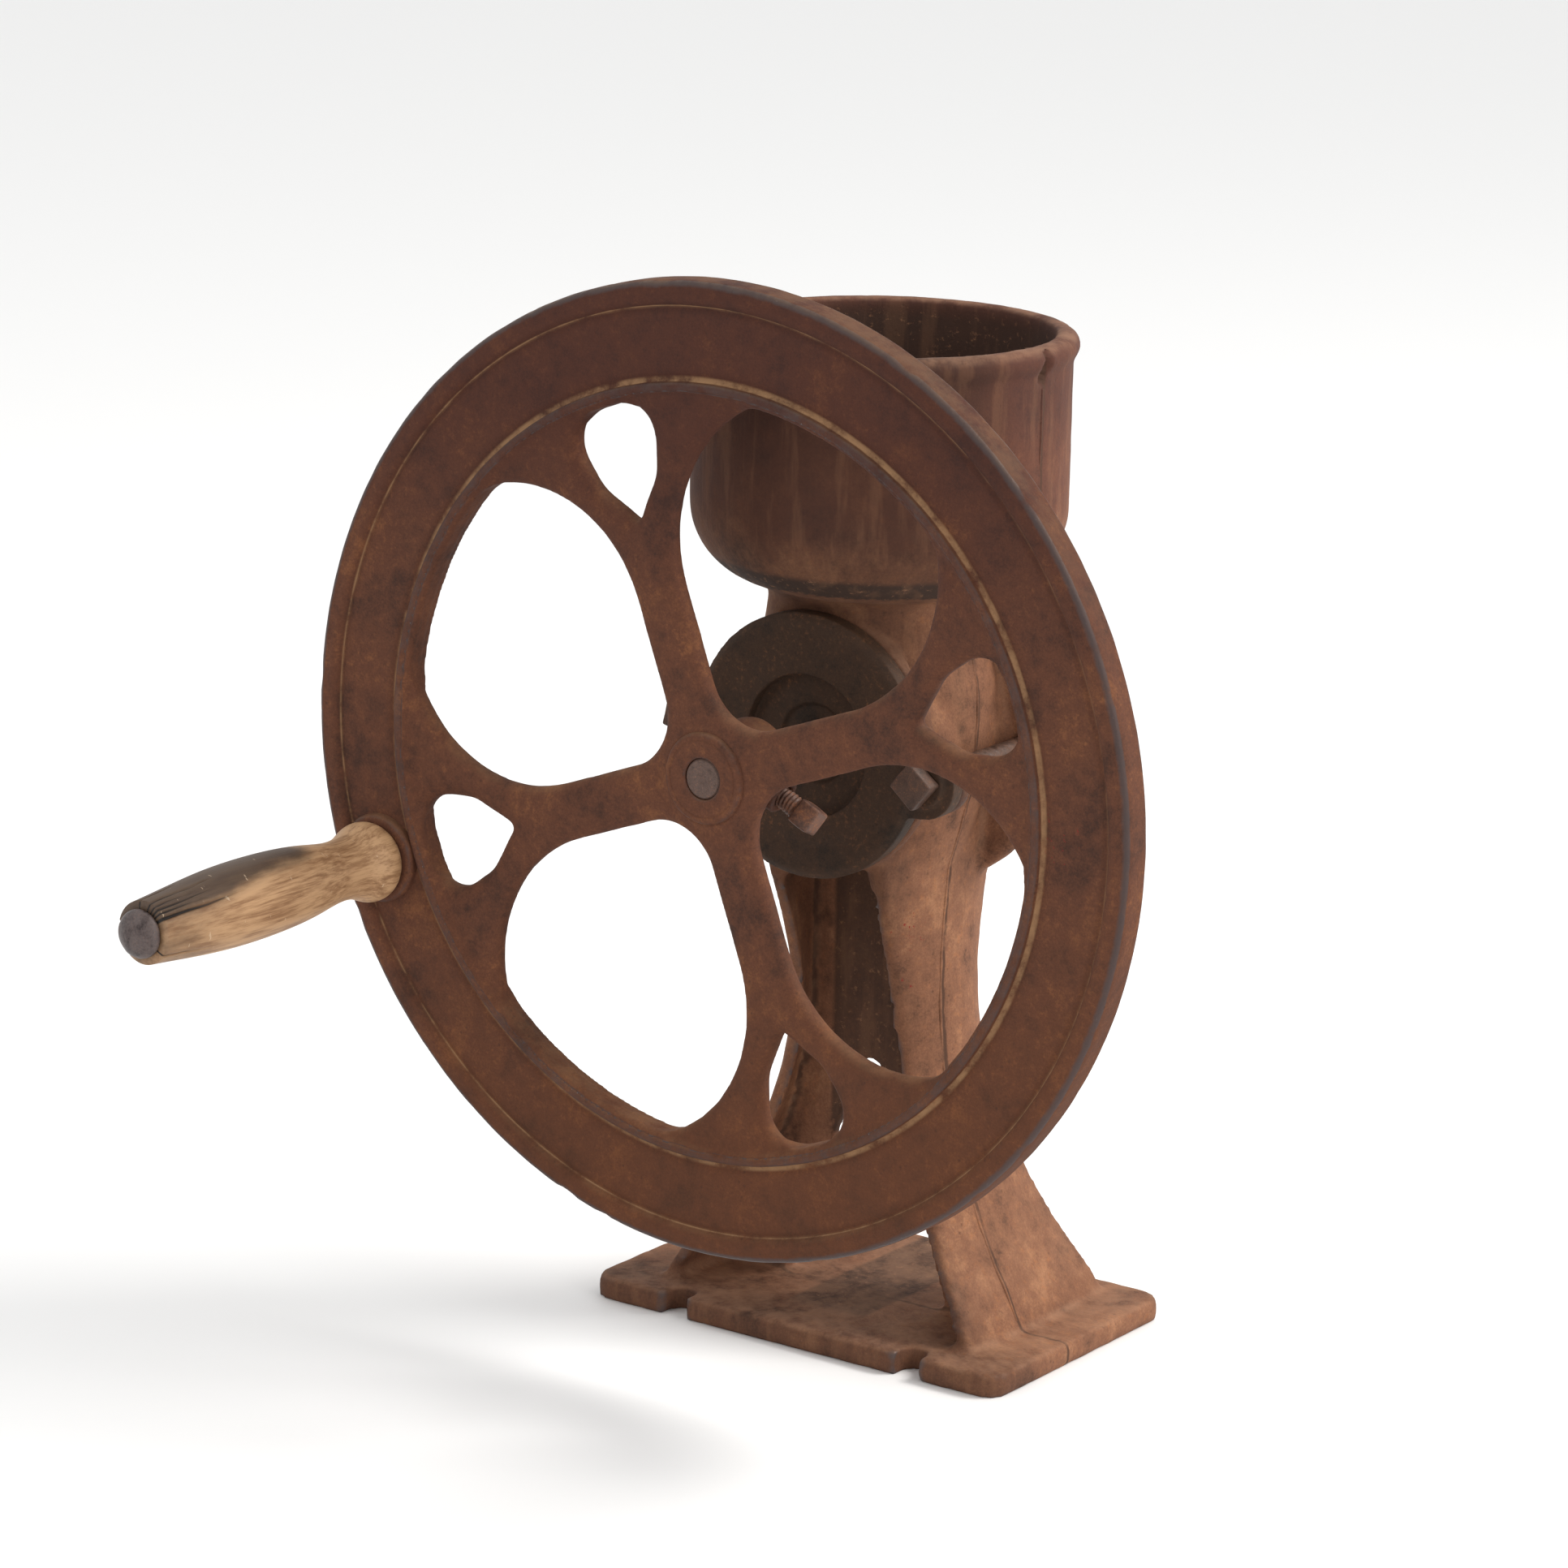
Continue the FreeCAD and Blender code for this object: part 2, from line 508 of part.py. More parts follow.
def front_plate():
    """Dished plate with two ears, carrying the front bearing and the fixed toothed plate."""
    face_y = FRONT_Y - PLATE_T
    ears = upright(ear_plate(), face_y + 1.5, FRONT_Y)
    dish = turned_y([(0, FRONT_Y - 1), (PLATE_R, FRONT_Y - 1), (PLATE_R, face_y + 4),
                     ((PLATE_R - 1.6, face_y + 1), (PLATE_R - 5, face_y)),
                     (40, face_y + 3.0), (37.5, face_y + 2.2),
                     (36, face_y + 4), (36, face_y + 10), (20.5, face_y + 11), (19, face_y + 12.5),
                     (0, face_y + 12.5)])
    hollow = turned_y([(0, face_y - 10), (36, face_y - 10), (36, face_y + 8),
                       (20.5, face_y + 9), (19, face_y + 11), (0, face_y + 11)])
    boss = turned_y([(0, face_y + 9), (38, face_y + 9), (40, FRONT_Y), (BURR_R + 2, FRONT_Y),
                     (BURR_R, BURR_Y),
                     (JOURNAL_R + 1, BURR_Y), (JOURNAL_R, BURR_Y + 1), (JOURNAL_R, JOURNAL_END_Y),
                     (0, JOURNAL_END_Y)])
    plate = dish.fuse([ears, boss]).cut(hollow)
    pads = [rod_y(13, face_y - 0.5, face_y + 3, x, z) for x, z in BOLTS]
    plate = plate.fuse(pads)
    holes = [rod_y(BOLT_R + SLIP_CLEAR, face_y - 2, FRONT_Y + 1, x, z) for x, z in BOLTS]
    for x, z in burr_screw_places():
        holes.append(rod_y(3.0, BURR_Y - 7, BURR_Y + 1, x, z))
    return plate.cut(holes + [rod_y(SHAFT_R + RUN_CLEAR, face_y - 1, JOURNAL_END_Y + 1)])


def tie_bolt(x, z, turn):
    """Square-headed bolt from the front plate's ear to the rear flange."""
    face_y = FRONT_Y - PLATE_T - 0.5
    end_y = REAR_Y + REAR_T + 16
    head = square_y(NUT_ACROSS, face_y - 9.5, face_y, x, z, turn)
    head = eased(head, 1.2, lambda e: e.BoundBox.YMax < face_y - 9.4)
    return head.fuse(rod_y(BOLT_R, face_y - 1, end_y, x, z))


def tie_nut(x, z, turn):
    """Square nut behind the rear flange."""
    y = REAR_Y + REAR_T
    nut = square_y(NUT_ACROSS + 2, y, y + 11, x, z, turn)
    return nut.cut(rod_y(BOLT_R, y - 1, y + 12, x, z))


# ---------------------------------------------------------------- grinding set


def burr_screw_places():
    """Screw holes of the fixed plate."""
    return [around((BURR_R + BURR_EYE_R) / 2, 30 + 120 * k) for k in range(3)]


def tooth_cuts(face_y, facing, skew):
    """Slanted furrows across a toothed face."""
    cuts = []
    for k in range(TOOTH_COUNT):
        furrow = block(BURR_EYE_R + 4, BURR_R + 4, face_y - 2.5, face_y + 2.5, SHAFT_Z - 1.6, SHAFT_Z + 1.6)
        furrow.rotate(Vec(BURR_EYE_R, face_y, SHAFT_Z), Vec(0, 1, 0), facing * skew)
        cuts.append(spin(furrow, k * 360 / TOOTH_COUNT))
    return cuts


def fixed_burr():
    """Toothed ring screwed to the front plate."""
    ring = rod_y(BURR_R, BURR_Y, FIXED_FACE_Y).cut(rod_y(BURR_EYE_R, BURR_Y - 1, FIXED_FACE_Y + 1))
    holes = []
    for x, z in burr_screw_places():
        holes.append(rod_y(3.3, BURR_Y - 1, FIXED_FACE_Y + 1, x, z))
        holes.append(rod_y(5.6, FIXED_FACE_Y - 5, FIXED_FACE_Y + 1, x, z))
    return ring.cut(tooth_cuts(FIXED_FACE_Y, 1, 25) + holes)


def fixed_burr_screws():
    """Three cheese-headed screws, sunk below the teeth."""
    screws = []
    for x, z in burr_screw_places():
        screws.append(rod_y(5.3, FIXED_FACE_Y - 5, FIXED_FACE_Y - 2.8, x, z).fuse(
            rod_y(3.0, BURR_Y - 6, FIXED_FACE_Y - 4, x, z)))
    return Part.makeCompound(screws)


def key_slot(y0, y1, extra=0.0):
    """Space of the drive key: half in the shaft, half in what it drives."""
    return block(-KEY_W / 2 - extra, KEY_W / 2 + extra, y0, y1, SHAFT_Z + SHAFT_R - 2.5,
                 SHAFT_Z + SHAFT_R + 2.5 + extra)


def running_burr():
    """Toothed disc on the shaft, with feed holes near its hub."""
    disc = rod_y(BURR_R, RUNNER_FACE_Y, RUNNER_BACK_Y)
    cuts = tooth_cuts(RUNNER_FACE_Y, -1, 25)
    for k in range(5):
        x, z = around(BURR_EYE_R - 2.5, 18 + 72 * k)
        cuts.append(rod_y(4.5, RUNNER_FACE_Y - 1, RUNNER_BACK_Y + 1, x, z))
    cuts.append(rod_y(SHAFT_R, RUNNER_FACE_Y - 1, RUNNER_BACK_Y + 1))
    cuts.append(key_slot(RUNNER_FACE_Y - 1, RUNNER_BACK_Y + 1))
    return disc.cut(cuts)


def feed_worm():
    """Worm that draws the feed from the throat to the toothed plates."""
    length = WORM_END_Y - RUNNER_BACK_Y
    core = Part.makeCylinder(WORM_CORE_R, length)
    height = length - 8
    path = Part.Wire(Part.makeHelix(WORM_PITCH, height, WORM_CORE_R).Edges)
    section = Part.makePolygon([Vec(WORM_CORE_R - 2, 0, -3.2), Vec(WORM_R, 0, -1.8), Vec(WORM_R, 0, 1.8),
                                Vec(WORM_CORE_R - 2, 0, 3.2), Vec(WORM_CORE_R - 2, 0, -3.2)])
    sweep = Part.BRepOffsetAPI.MakePipeShell(path)
    sweep.setFrenetMode(True)
    sweep.add(section)
    sweep.build()
    sweep.makeSolid()
    flight = sweep.shape()
    flight.translate(Vec(0, 0, 4))
    worm = core.fuse(flight)
    worm.rotate(Vec(0, 0, 0), Vec(1, 0, 0), -90)
    worm.translate(Vec(0, RUNNER_BACK_Y, SHAFT_Z))
    bore = rod_y(SHAFT_R, RUNNER_BACK_Y - 1, WORM_END_Y + 1)
    return worm.cut([bore, key_slot(RUNNER_BACK_Y - 1, WORM_END_Y + 1)])


def main_shaft():
    """Shaft from the flywheel's hub to the thrust button."""
    front = HUB_FRONT_Y + 0.8
    shaft = turned_y([(0, front), (SHAFT_R - 0.8, front), (SHAFT_R, front + 0.8), (SHAFT_R, SHAFT_END_Y - 1),
                      (SHAFT_R - 1, SHAFT_END_Y), (0, SHAFT_END_Y)])
    return shaft.cut(key_slot(RUNNER_FACE_Y, WORM_END_Y))


def drive_key():
    """Square key that drives worm and running plate."""
    return key_slot(RUNNER_FACE_Y + 0.5, WORM_END_Y - 0.5)


# ---------------------------------------------------------------- regulating screw


def thrust_button():
    """Hard steel disc between shaft and regulating screw."""
    return rod_y(SCREW_R - 0.6, SHAFT_END_Y, SHAFT_END_Y + BUTTON_T)


def regulating_screw():
    """Square-headed screw that sets the gap between the toothed plates."""
    start = SHAFT_END_Y + BUTTON_T
    stem = turned_y([(0, start), (SCREW_R - 2, start), (SCREW_R - 1.5, start + 4), (SCREW_R, start + 5.5),
                     (SCREW_R, SCREW_END_Y - 14), (0, SCREW_END_Y - 14)])
    head = square_y(17.0, SCREW_END_Y - 14, SCREW_END_Y, 0, SHAFT_Z, 45)
    return stem.fuse(head)


def lock_nut():
    """Hexagon nut that holds the setting."""
    corner = LOCK_NUT_ACROSS / 2 / math.cos(math.pi / 6)
    corners = [polar(corner, 60 * k) for k in range(6)]
    face = outline(corners)
    face.translate(Vec(0, SHAFT_Z, 0))
    nut = upright(face, BOSS_END_Y, BOSS_END_Y + LOCK_NUT_T)
    return nut.cut(rod_y(SCREW_R + RUN_CLEAR, BOSS_END_Y - 1, BOSS_END_Y + LOCK_NUT_T + 1))


def main():
    """Write every node."""
    os.makedirs("parts", exist_ok=True)
    save("frame_casting", frame_casting())
    save("front_plate", front_plate())
    for side, (x, z), turn in (("right", BOLTS[0], 40), ("left", BOLTS[1], 12)):
        save("tie_bolt_" + side, tie_bolt(x, z, turn))
        save("tie_nut_" + side, tie_nut(x, z, turn + 20))
    save("fixed_burr", fixed_burr())
    save("fixed_burr_screws", fixed_burr_screws())
    save("running_burr", running_burr())
    save("feed_worm", feed_worm())
    save("drive_key", drive_key())
    save("main_shaft", main_shaft())
    save("flywheel", flywheel())
    save("hub_set_screw", set_screw())
    save("crank_handle", handle())
    save("handle_spindle", spindle())
    save("spindle_washer", spindle_washer())
    save("spindle_nut", spindle_nut())
    save("thrust_button", thrust_button())
    save("regulating_screw", regulating_screw())
    save("lock_nut", lock_nut())


main()
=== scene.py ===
"""Looks of a hand-cranked crushing mill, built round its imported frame.

Metres throughout. +Z is up, +Y runs along the shaft away from the flywheel, and the origin is the centre
of the base plate's underside.
"""

import logging
import math
from dataclasses import dataclass, field
from enum import Enum

import bmesh
import bpy
import numpy as np
from mathutils import Matrix, Vector, noise
from mathutils.bvhtree import BVHTree
from mathutils.kdtree import KDTree


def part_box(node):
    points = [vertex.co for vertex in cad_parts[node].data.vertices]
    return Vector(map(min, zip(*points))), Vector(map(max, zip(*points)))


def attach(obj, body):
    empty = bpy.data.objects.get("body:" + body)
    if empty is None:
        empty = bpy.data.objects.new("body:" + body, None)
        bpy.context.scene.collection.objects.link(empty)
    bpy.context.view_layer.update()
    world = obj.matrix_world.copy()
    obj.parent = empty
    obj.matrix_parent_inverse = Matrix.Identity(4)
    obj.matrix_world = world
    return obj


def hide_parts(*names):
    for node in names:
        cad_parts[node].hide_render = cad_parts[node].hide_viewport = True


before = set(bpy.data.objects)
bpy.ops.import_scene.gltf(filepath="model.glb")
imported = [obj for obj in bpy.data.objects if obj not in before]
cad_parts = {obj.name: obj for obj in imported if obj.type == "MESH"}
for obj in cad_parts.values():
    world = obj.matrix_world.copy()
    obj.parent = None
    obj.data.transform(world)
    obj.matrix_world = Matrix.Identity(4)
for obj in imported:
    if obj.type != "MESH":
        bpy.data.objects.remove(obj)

MM = 0.001
LOG = logging.getLogger("mill")
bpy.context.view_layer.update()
SHAFT_Z = (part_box("main_shaft")[0].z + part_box("main_shaft")[1].z) / 2
SEAM_Y = -15 * MM
SHAFT_AXIS = Vector((0, 0, SHAFT_Z))

Colour = tuple[float, float, float]


class Slot(Enum):
    """Material slots of the record."""

    CASTING = "rusty_casting"
    WHEEL = "wheel_casting"
    DISH = "dark_casting"
    STEEL = "rusty_steel"
    WORN = "worn_steel"
    WOOD = "worn_wood"


class Shape(Enum):
    """Heads and nuts by their number of sides."""

    SQUARE = 4
    HEXAGON = 6


# ---------------------------------------------------------------- shader kit


class Tree:
    """A node tree with short calls for adding and joining nodes."""

    def __init__(self, tree: bpy.types.NodeTree) -> None:
        """Keeps the tree."""
        self.tree = tree

    def add(self, kind: str, settings: dict | None = None, **inputs: object) -> bpy.types.Node:
        """Adds a node.

        Args:
            kind: the node's type name without its ShaderNode prefix.
            settings: attributes to set on the node.
            inputs: values or sockets for its inputs, underscores standing for spaces.

        Returns:
            The node.
        """
        prefix = "" if kind.startswith("Node") else "ShaderNode"
        node = self.tree.nodes.new(prefix + kind)
        for key, value in (settings or {}).items():
            setattr(node, key, value)
        for key, value in inputs.items():
            self.feed(node.inputs[key.replace("_", " ")], value)
        return node

    def feed(self, socket: bpy.types.NodeSocket, value: object) -> None:
        """Sets an input to a value, or joins a socket to it.

        Args:
            socket: the input.
            value: a value or another node's output.
        """
        if isinstance(value, bpy.types.NodeSocket):
            self.tree.links.new(value, socket)
        elif isinstance(value, tuple) and socket.type == "RGBA":
            socket.default_value = (*value, 1.0)
        else:
            socket.default_value = value

    def math(self, operation: str, a: object, b: object = 0.5, clamp: bool = False) -> bpy.types.NodeSocket:
        """Joins a Math node.

        Args:
            operation: its operation.
            a: first value or socket.
            b: second value or socket.
            clamp: whether the result stays from 0 to 1.

        Returns:
            The output socket.
        """
        node = self.tree.nodes.new("ShaderNodeMath")
        node.operation = operation
        node.use_clamp = clamp
        self.feed(node.inputs[0], a)
        self.feed(node.inputs[1], b)
        return node.outputs[0]

    def mix(self, factor: object, a: object, b: object, blend: str = "MIX") -> bpy.types.NodeSocket:
        """Joins a colour Mix node.

        Args:
            factor: share of the second colour.
            a: first colour.
            b: second colour.
            blend: blend type.

        Returns:
            The output socket.
        """
        node = self.tree.nodes.new("ShaderNodeMix")
        node.data_type = "RGBA"
        node.blend_type = blend
        self.feed(node.inputs[0], factor)
        self.feed(node.inputs[6], a)
        self.feed(node.inputs[7], b)
        return node.outputs[2]

    def step(self, value: object, low: object, high: object) -> bpy.types.NodeSocket:
        """Smooth step of a value from 0 at low to 1 at high."""
        node = self.add("MapRange", {"interpolation_type": "SMOOTHSTEP"}, Value=value, From_Min=low,
                        From_Max=high)
        return node.outputs[0]

    def noise(self, vector: object, scale: object, detail: float = 3.0,
              rough: float = 0.55) -> bpy.types.NodeSocket:
        """Value of a Noise texture."""
        node = self.add("TexNoise", None, Vector=vector, Scale=scale, Detail=detail, Roughness=rough)
        return node.outputs[0]

    def scaled(self, vector: object, scale: tuple[float, float, float]) -> bpy.types.NodeSocket:
        """Vector multiplied by a scale along each axis."""
        node = self.add("VectorMath", {"operation": "MULTIPLY"})
        self.feed(node.inputs[0], vector)
        node.inputs[1].default_value = scale
        return node.outputs[0]


class Effect:
    """A shader node group that several finishes share."""

    def __init__(self, name: str, inputs: dict[str, tuple[str, object]], outputs: dict[str, str]) -> None:
        """Makes an empty group with its sockets.

        Args:
            name: the group's name.
            inputs: socket type and default of each input.
            outputs: socket type of each output.
        """
        group = bpy.data.node_groups.new(name, "ShaderNodeTree")
        for key, (kind, default) in inputs.items():
            socket = group.interface.new_socket(name=key, in_out="INPUT", socket_type="NodeSocket" + kind)
            if default is not None:
                socket.default_value = (*default, 1.0) if kind == "Color" else default
        for key, kind in outputs.items():
            group.interface.new_socket(name=key, in_out="OUTPUT", socket_type="NodeSocket" + kind)
        self.group = group
        self.kit = Tree(group)
        self.given = self.kit.add("NodeGroupInput").outputs
        self.results = self.kit.add("NodeGroupOutput").inputs

    def place(self, kit: Tree, **inputs: object) -> bpy.types.bpy_prop_collection:
        """Places the group in a material.

        Args:
            kit: the material's tree.
            inputs: values or sockets for its inputs, underscores standing for spaces.

        Returns:
            The placed group's outputs.
        """
        node = kit.tree.nodes.new("ShaderNodeGroup")
        node.node_tree = self.group
        for key, value in inputs.items():
            kit.feed(node.inputs[key.replace("_", " ")], value)
        return node.outputs


def rust_effect() -> Effect:
    """Patches and grain of old rust in three colours."""
    made = Effect(
        "rust_patches",
        {"Vector": ("Vector", None), "Scale": ("Float", 30.0), "Dark": ("Color", (0.05, 0.03, 0.02)),
         "Body": ("Color", (0.15, 0.07, 0.04)), "Light": ("Color", (0.3, 0.16, 0.09)),
         "Light Share": ("Float", 0.5),
         "Bloom": ("Color", (0.34, 0.13, 0.045))},
        {"Color": "Color", "Tone": "Float"})
    kit, given = made.kit, made.given
    broad = kit.noise(given["Vector"], given["Scale"], 5.0, 0.6)
    medium = kit.noise(given["Vector"], kit.math("MULTIPLY", given["Scale"], 4.7), 5.0, 0.65)
    fine = kit.noise(given["Vector"], kit.math("MULTIPLY", given["Scale"], 26.0), 4.0, 0.7)
    tone = kit.math("ADD", kit.math("MULTIPLY", broad, 0.5), kit.math("MULTIPLY", medium, 0.3))
    tone = kit.math("ADD", tone, kit.math("MULTIPLY", fine, 0.2))
    dark = kit.mix(kit.step(tone, 0.33, 0.52), given["Dark"], given["Body"])
    limit = kit.math("SUBTRACT", 0.62, kit.math("MULTIPLY", given["Light Share"], 0.22))
    light = kit.step(tone, limit, kit.math("ADD", limit, 0.17))
    colour = kit.mix(kit.math("MULTIPLY", light, 0.85), dark, given["Light"])
    cloud = kit.noise(given["Vector"], kit.math("MULTIPLY", given["Scale"], 9.0), 6.0, 0.75)
    bloom = kit.math("MULTIPLY", kit.step(cloud, 0.52, 0.7), kit.math("MULTIPLY", given["Light Share"], 0.9))
    colour = kit.mix(kit.math("MULTIPLY", bloom, kit.step(broad, 0.36, 0.6)), colour, given["Bloom"])
    speckle = kit.noise(given["Vector"], 950.0, 3.0, 0.8)
    mottle = kit.math("ADD", speckle, kit.math("MULTIPLY", cloud, 0.35))
    shade = kit.math("ADD", 0.42, kit.math("MULTIPLY", mottle, 0.85))
    grey = kit.add("CombineColor", None, Red=shade, Green=shade, Blue=shade).outputs[0]
    kit.feed(made.results["Color"], kit.mix(1.0, colour, grey, "MULTIPLY"))
    kit.feed(made.results["Tone"], tone)
    return made


def grain_effect() -> Effect:
    """Sand-cast grain: a height with fine lumps and pits, and the pits as a mask."""
    made = Effect("cast_grain", {"Vector": ("Vector", None), "Size": ("Float", 0.0016)},
                  {"Height": "Float", "Pits": "Float"})
    kit, given = made.kit, made.given
    scale = kit.math("DIVIDE", 1.0, given["Size"])
    lumps = kit.noise(given["Vector"], scale, 4.0, 0.6)
    broad = kit.noise(given["Vector"], kit.math("MULTIPLY", scale, 0.22), 3.0, 0.5)
    cells = kit.add("TexVoronoi", None, Vector=given["Vector"], Scale=kit.math("MULTIPLY", scale, 0.4))
    holes = kit.math("SUBTRACT", 1.0, kit.step(cells.outputs["Distance"], 0.05, 0.3))
    pits = kit.math("MULTIPLY", holes, kit.step(broad, 0.5, 0.68))
    height = kit.math("ADD", kit.math("MULTIPLY", lumps, 0.6), kit.math("MULTIPLY", broad, 0.4))
    kit.feed(made.results["Height"], kit.math("SUBTRACT", height, kit.math("MULTIPLY", pits, 0.7)))
    kit.feed(made.results["Pits"], pits)
    return made


def wear_effect() -> Effect:
    """Edges rubbed down to dark iron, and the sharpest of them to bright scratches."""
    made = Effect("worn_edges",
                  {"Vector": ("Vector", None), "Edge": ("Float", 0.0), "Reach": ("Float", 0.35)},
                  {"Worn": "Float", "Bright": "Float"})
    kit, given = made.kit, made.given
    ragged = kit.noise(given["Vector"], 120.0, 5.0, 0.7)
    edge = kit.math("ADD", given["Edge"], kit.math("MULTIPLY", kit.math("SUBTRACT", ragged, 0.5), 0.35))
    worn = kit.step(edge, given["Reach"], kit.math("ADD", given["Reach"], 0.28))
    scratch = kit.noise(given["Vector"], 420.0, 3.0, 0.8)
    sharp = kit.step(edge, kit.math("ADD", given["Reach"], 0.3), kit.math("ADD", given["Reach"], 0.55))
    kit.feed(made.results["Worn"], worn)
    kit.feed(made.results["Bright"], kit.math("MULTIPLY", sharp, kit.step(scratch, 0.54, 0.66)))
    return made


def dust_effect() -> Effect:
    """Pale rust dust that gathers in hollows and on what faces up."""
    made = Effect("settled_dust",
                  {"Vector": ("Vector", None), "Hollow": ("Float", 0.0), "Up": ("Float", 0.0),
                   "Amount": ("Float", 0.5)}, {"Dust": "Float"})
    kit, given = made.kit, made.given
    patchy = kit.noise(given["Vector"], 60.0, 6.0, 0.7)
    gather = kit.math("ADD", kit.step(given["Hollow"], 0.12, 0.6), kit.math("MULTIPLY", given["Up"], 0.55))
    dust = kit.math("MULTIPLY", kit.math("MULTIPLY", gather, given["Amount"]), kit.step(patchy, 0.32, 0.62))
    kit.feed(made.results["Dust"], kit.math("MULTIPLY", dust, 1.0, True))
    return made


def fleck_effect() -> Effect:
    """Last flecks of paint within reach of a point."""
    made = Effect("paint_flecks",
                  {"Vector": ("Vector", None), "Centre": ("Vector", None), "Reach": ("Float", 0.02),
                   "Density": ("Float", 0.5)}, {"Paint": "Float"})
    kit, given = made.kit, made.given
    away = kit.add("VectorMath", {"operation": "DISTANCE"})
    kit.feed(away.inputs[0], given["Vector"])
    kit.feed(away.inputs[1], given["Centre"])
    distance = kit.math("DIVIDE", away.outputs["Value"], given["Reach"])
    near = kit.math("SUBTRACT", 1.0, kit.step(distance, 0.3, 1.0))
    spots = kit.noise(given["Vector"], 300.0, 5.0, 0.75)
    crowd = kit.math("MULTIPLY", near, given["Density"])
    limit = kit.math("SUBTRACT", 0.78, kit.math("MULTIPLY", crowd, 0.3))
    kit.feed(made.results["Paint"], kit.math("MULTIPLY", kit.step(spots, limit, kit.math("ADD", limit, 0.04)),
                                             kit.step(near, 0.02, 0.2)))
    return made


def zone_effect() -> Effect:
    """Soft mask that rises along a direction, with a ragged front."""
    made = Effect("tint_and_shade_zone",
                  {"Vector": ("Vector", None), "Direction": ("Vector", (0.0, 0.0, 1.0)),
                   "Start": ("Float", 0.0),
                   "End": ("Float", 1.0), "Ragged": ("Float", 0.02)}, {"Mask": "Float"})
    kit, given = made.kit, made.given
    along = kit.add("VectorMath", {"operation": "DOT_PRODUCT"})
    kit.feed(along.inputs[0], given["Vector"])
    kit.feed(along.inputs[1], given["Direction"])
    drift = kit.math("SUBTRACT", kit.noise(given["Vector"], 32.0, 5.0, 0.65), 0.5)
    front = kit.math("ADD", along.outputs["Value"], kit.math("MULTIPLY", drift, given["Ragged"]))
    kit.feed(made.results["Mask"], kit.step(front, given["Start"], given["End"]))
    return made


RUST = rust_effect()
ZONE = zone_effect()
GRAIN = grain_effect()
WEAR = wear_effect()
DUST = dust_effect()
FLECKS = fleck_effect()


def new_material(name: str) -> tuple[bpy.types.Material, Tree, bpy.types.Node]:
    """Makes a material with an empty Principled BSDF.

    Args:
        name: the material's name.

    Returns:
        The material, its tree and its shader node.
    """
    material = bpy.data.materials.new(name)
    material.use_nodes = True
    kit = Tree(material.node_tree)
    return material, kit, material.node_tree.nodes["Principled BSDF"]


@dataclass(frozen=True)
class PaintSpot:
    """Where some old paint is left."""

    centre: Colour
    reach: float
    density: float = 0.6


@dataclass(frozen=True)
class Zone:
    """A part of a casting with a colour of its own, a real tint or painted shade: it rises along a direction
    from start to end.
    """

    colour: Colour
    share: float
    start: float
    end: float
    direction: Colour = (0.0, 0.0, 1.0)
    ragged: float = 0.06


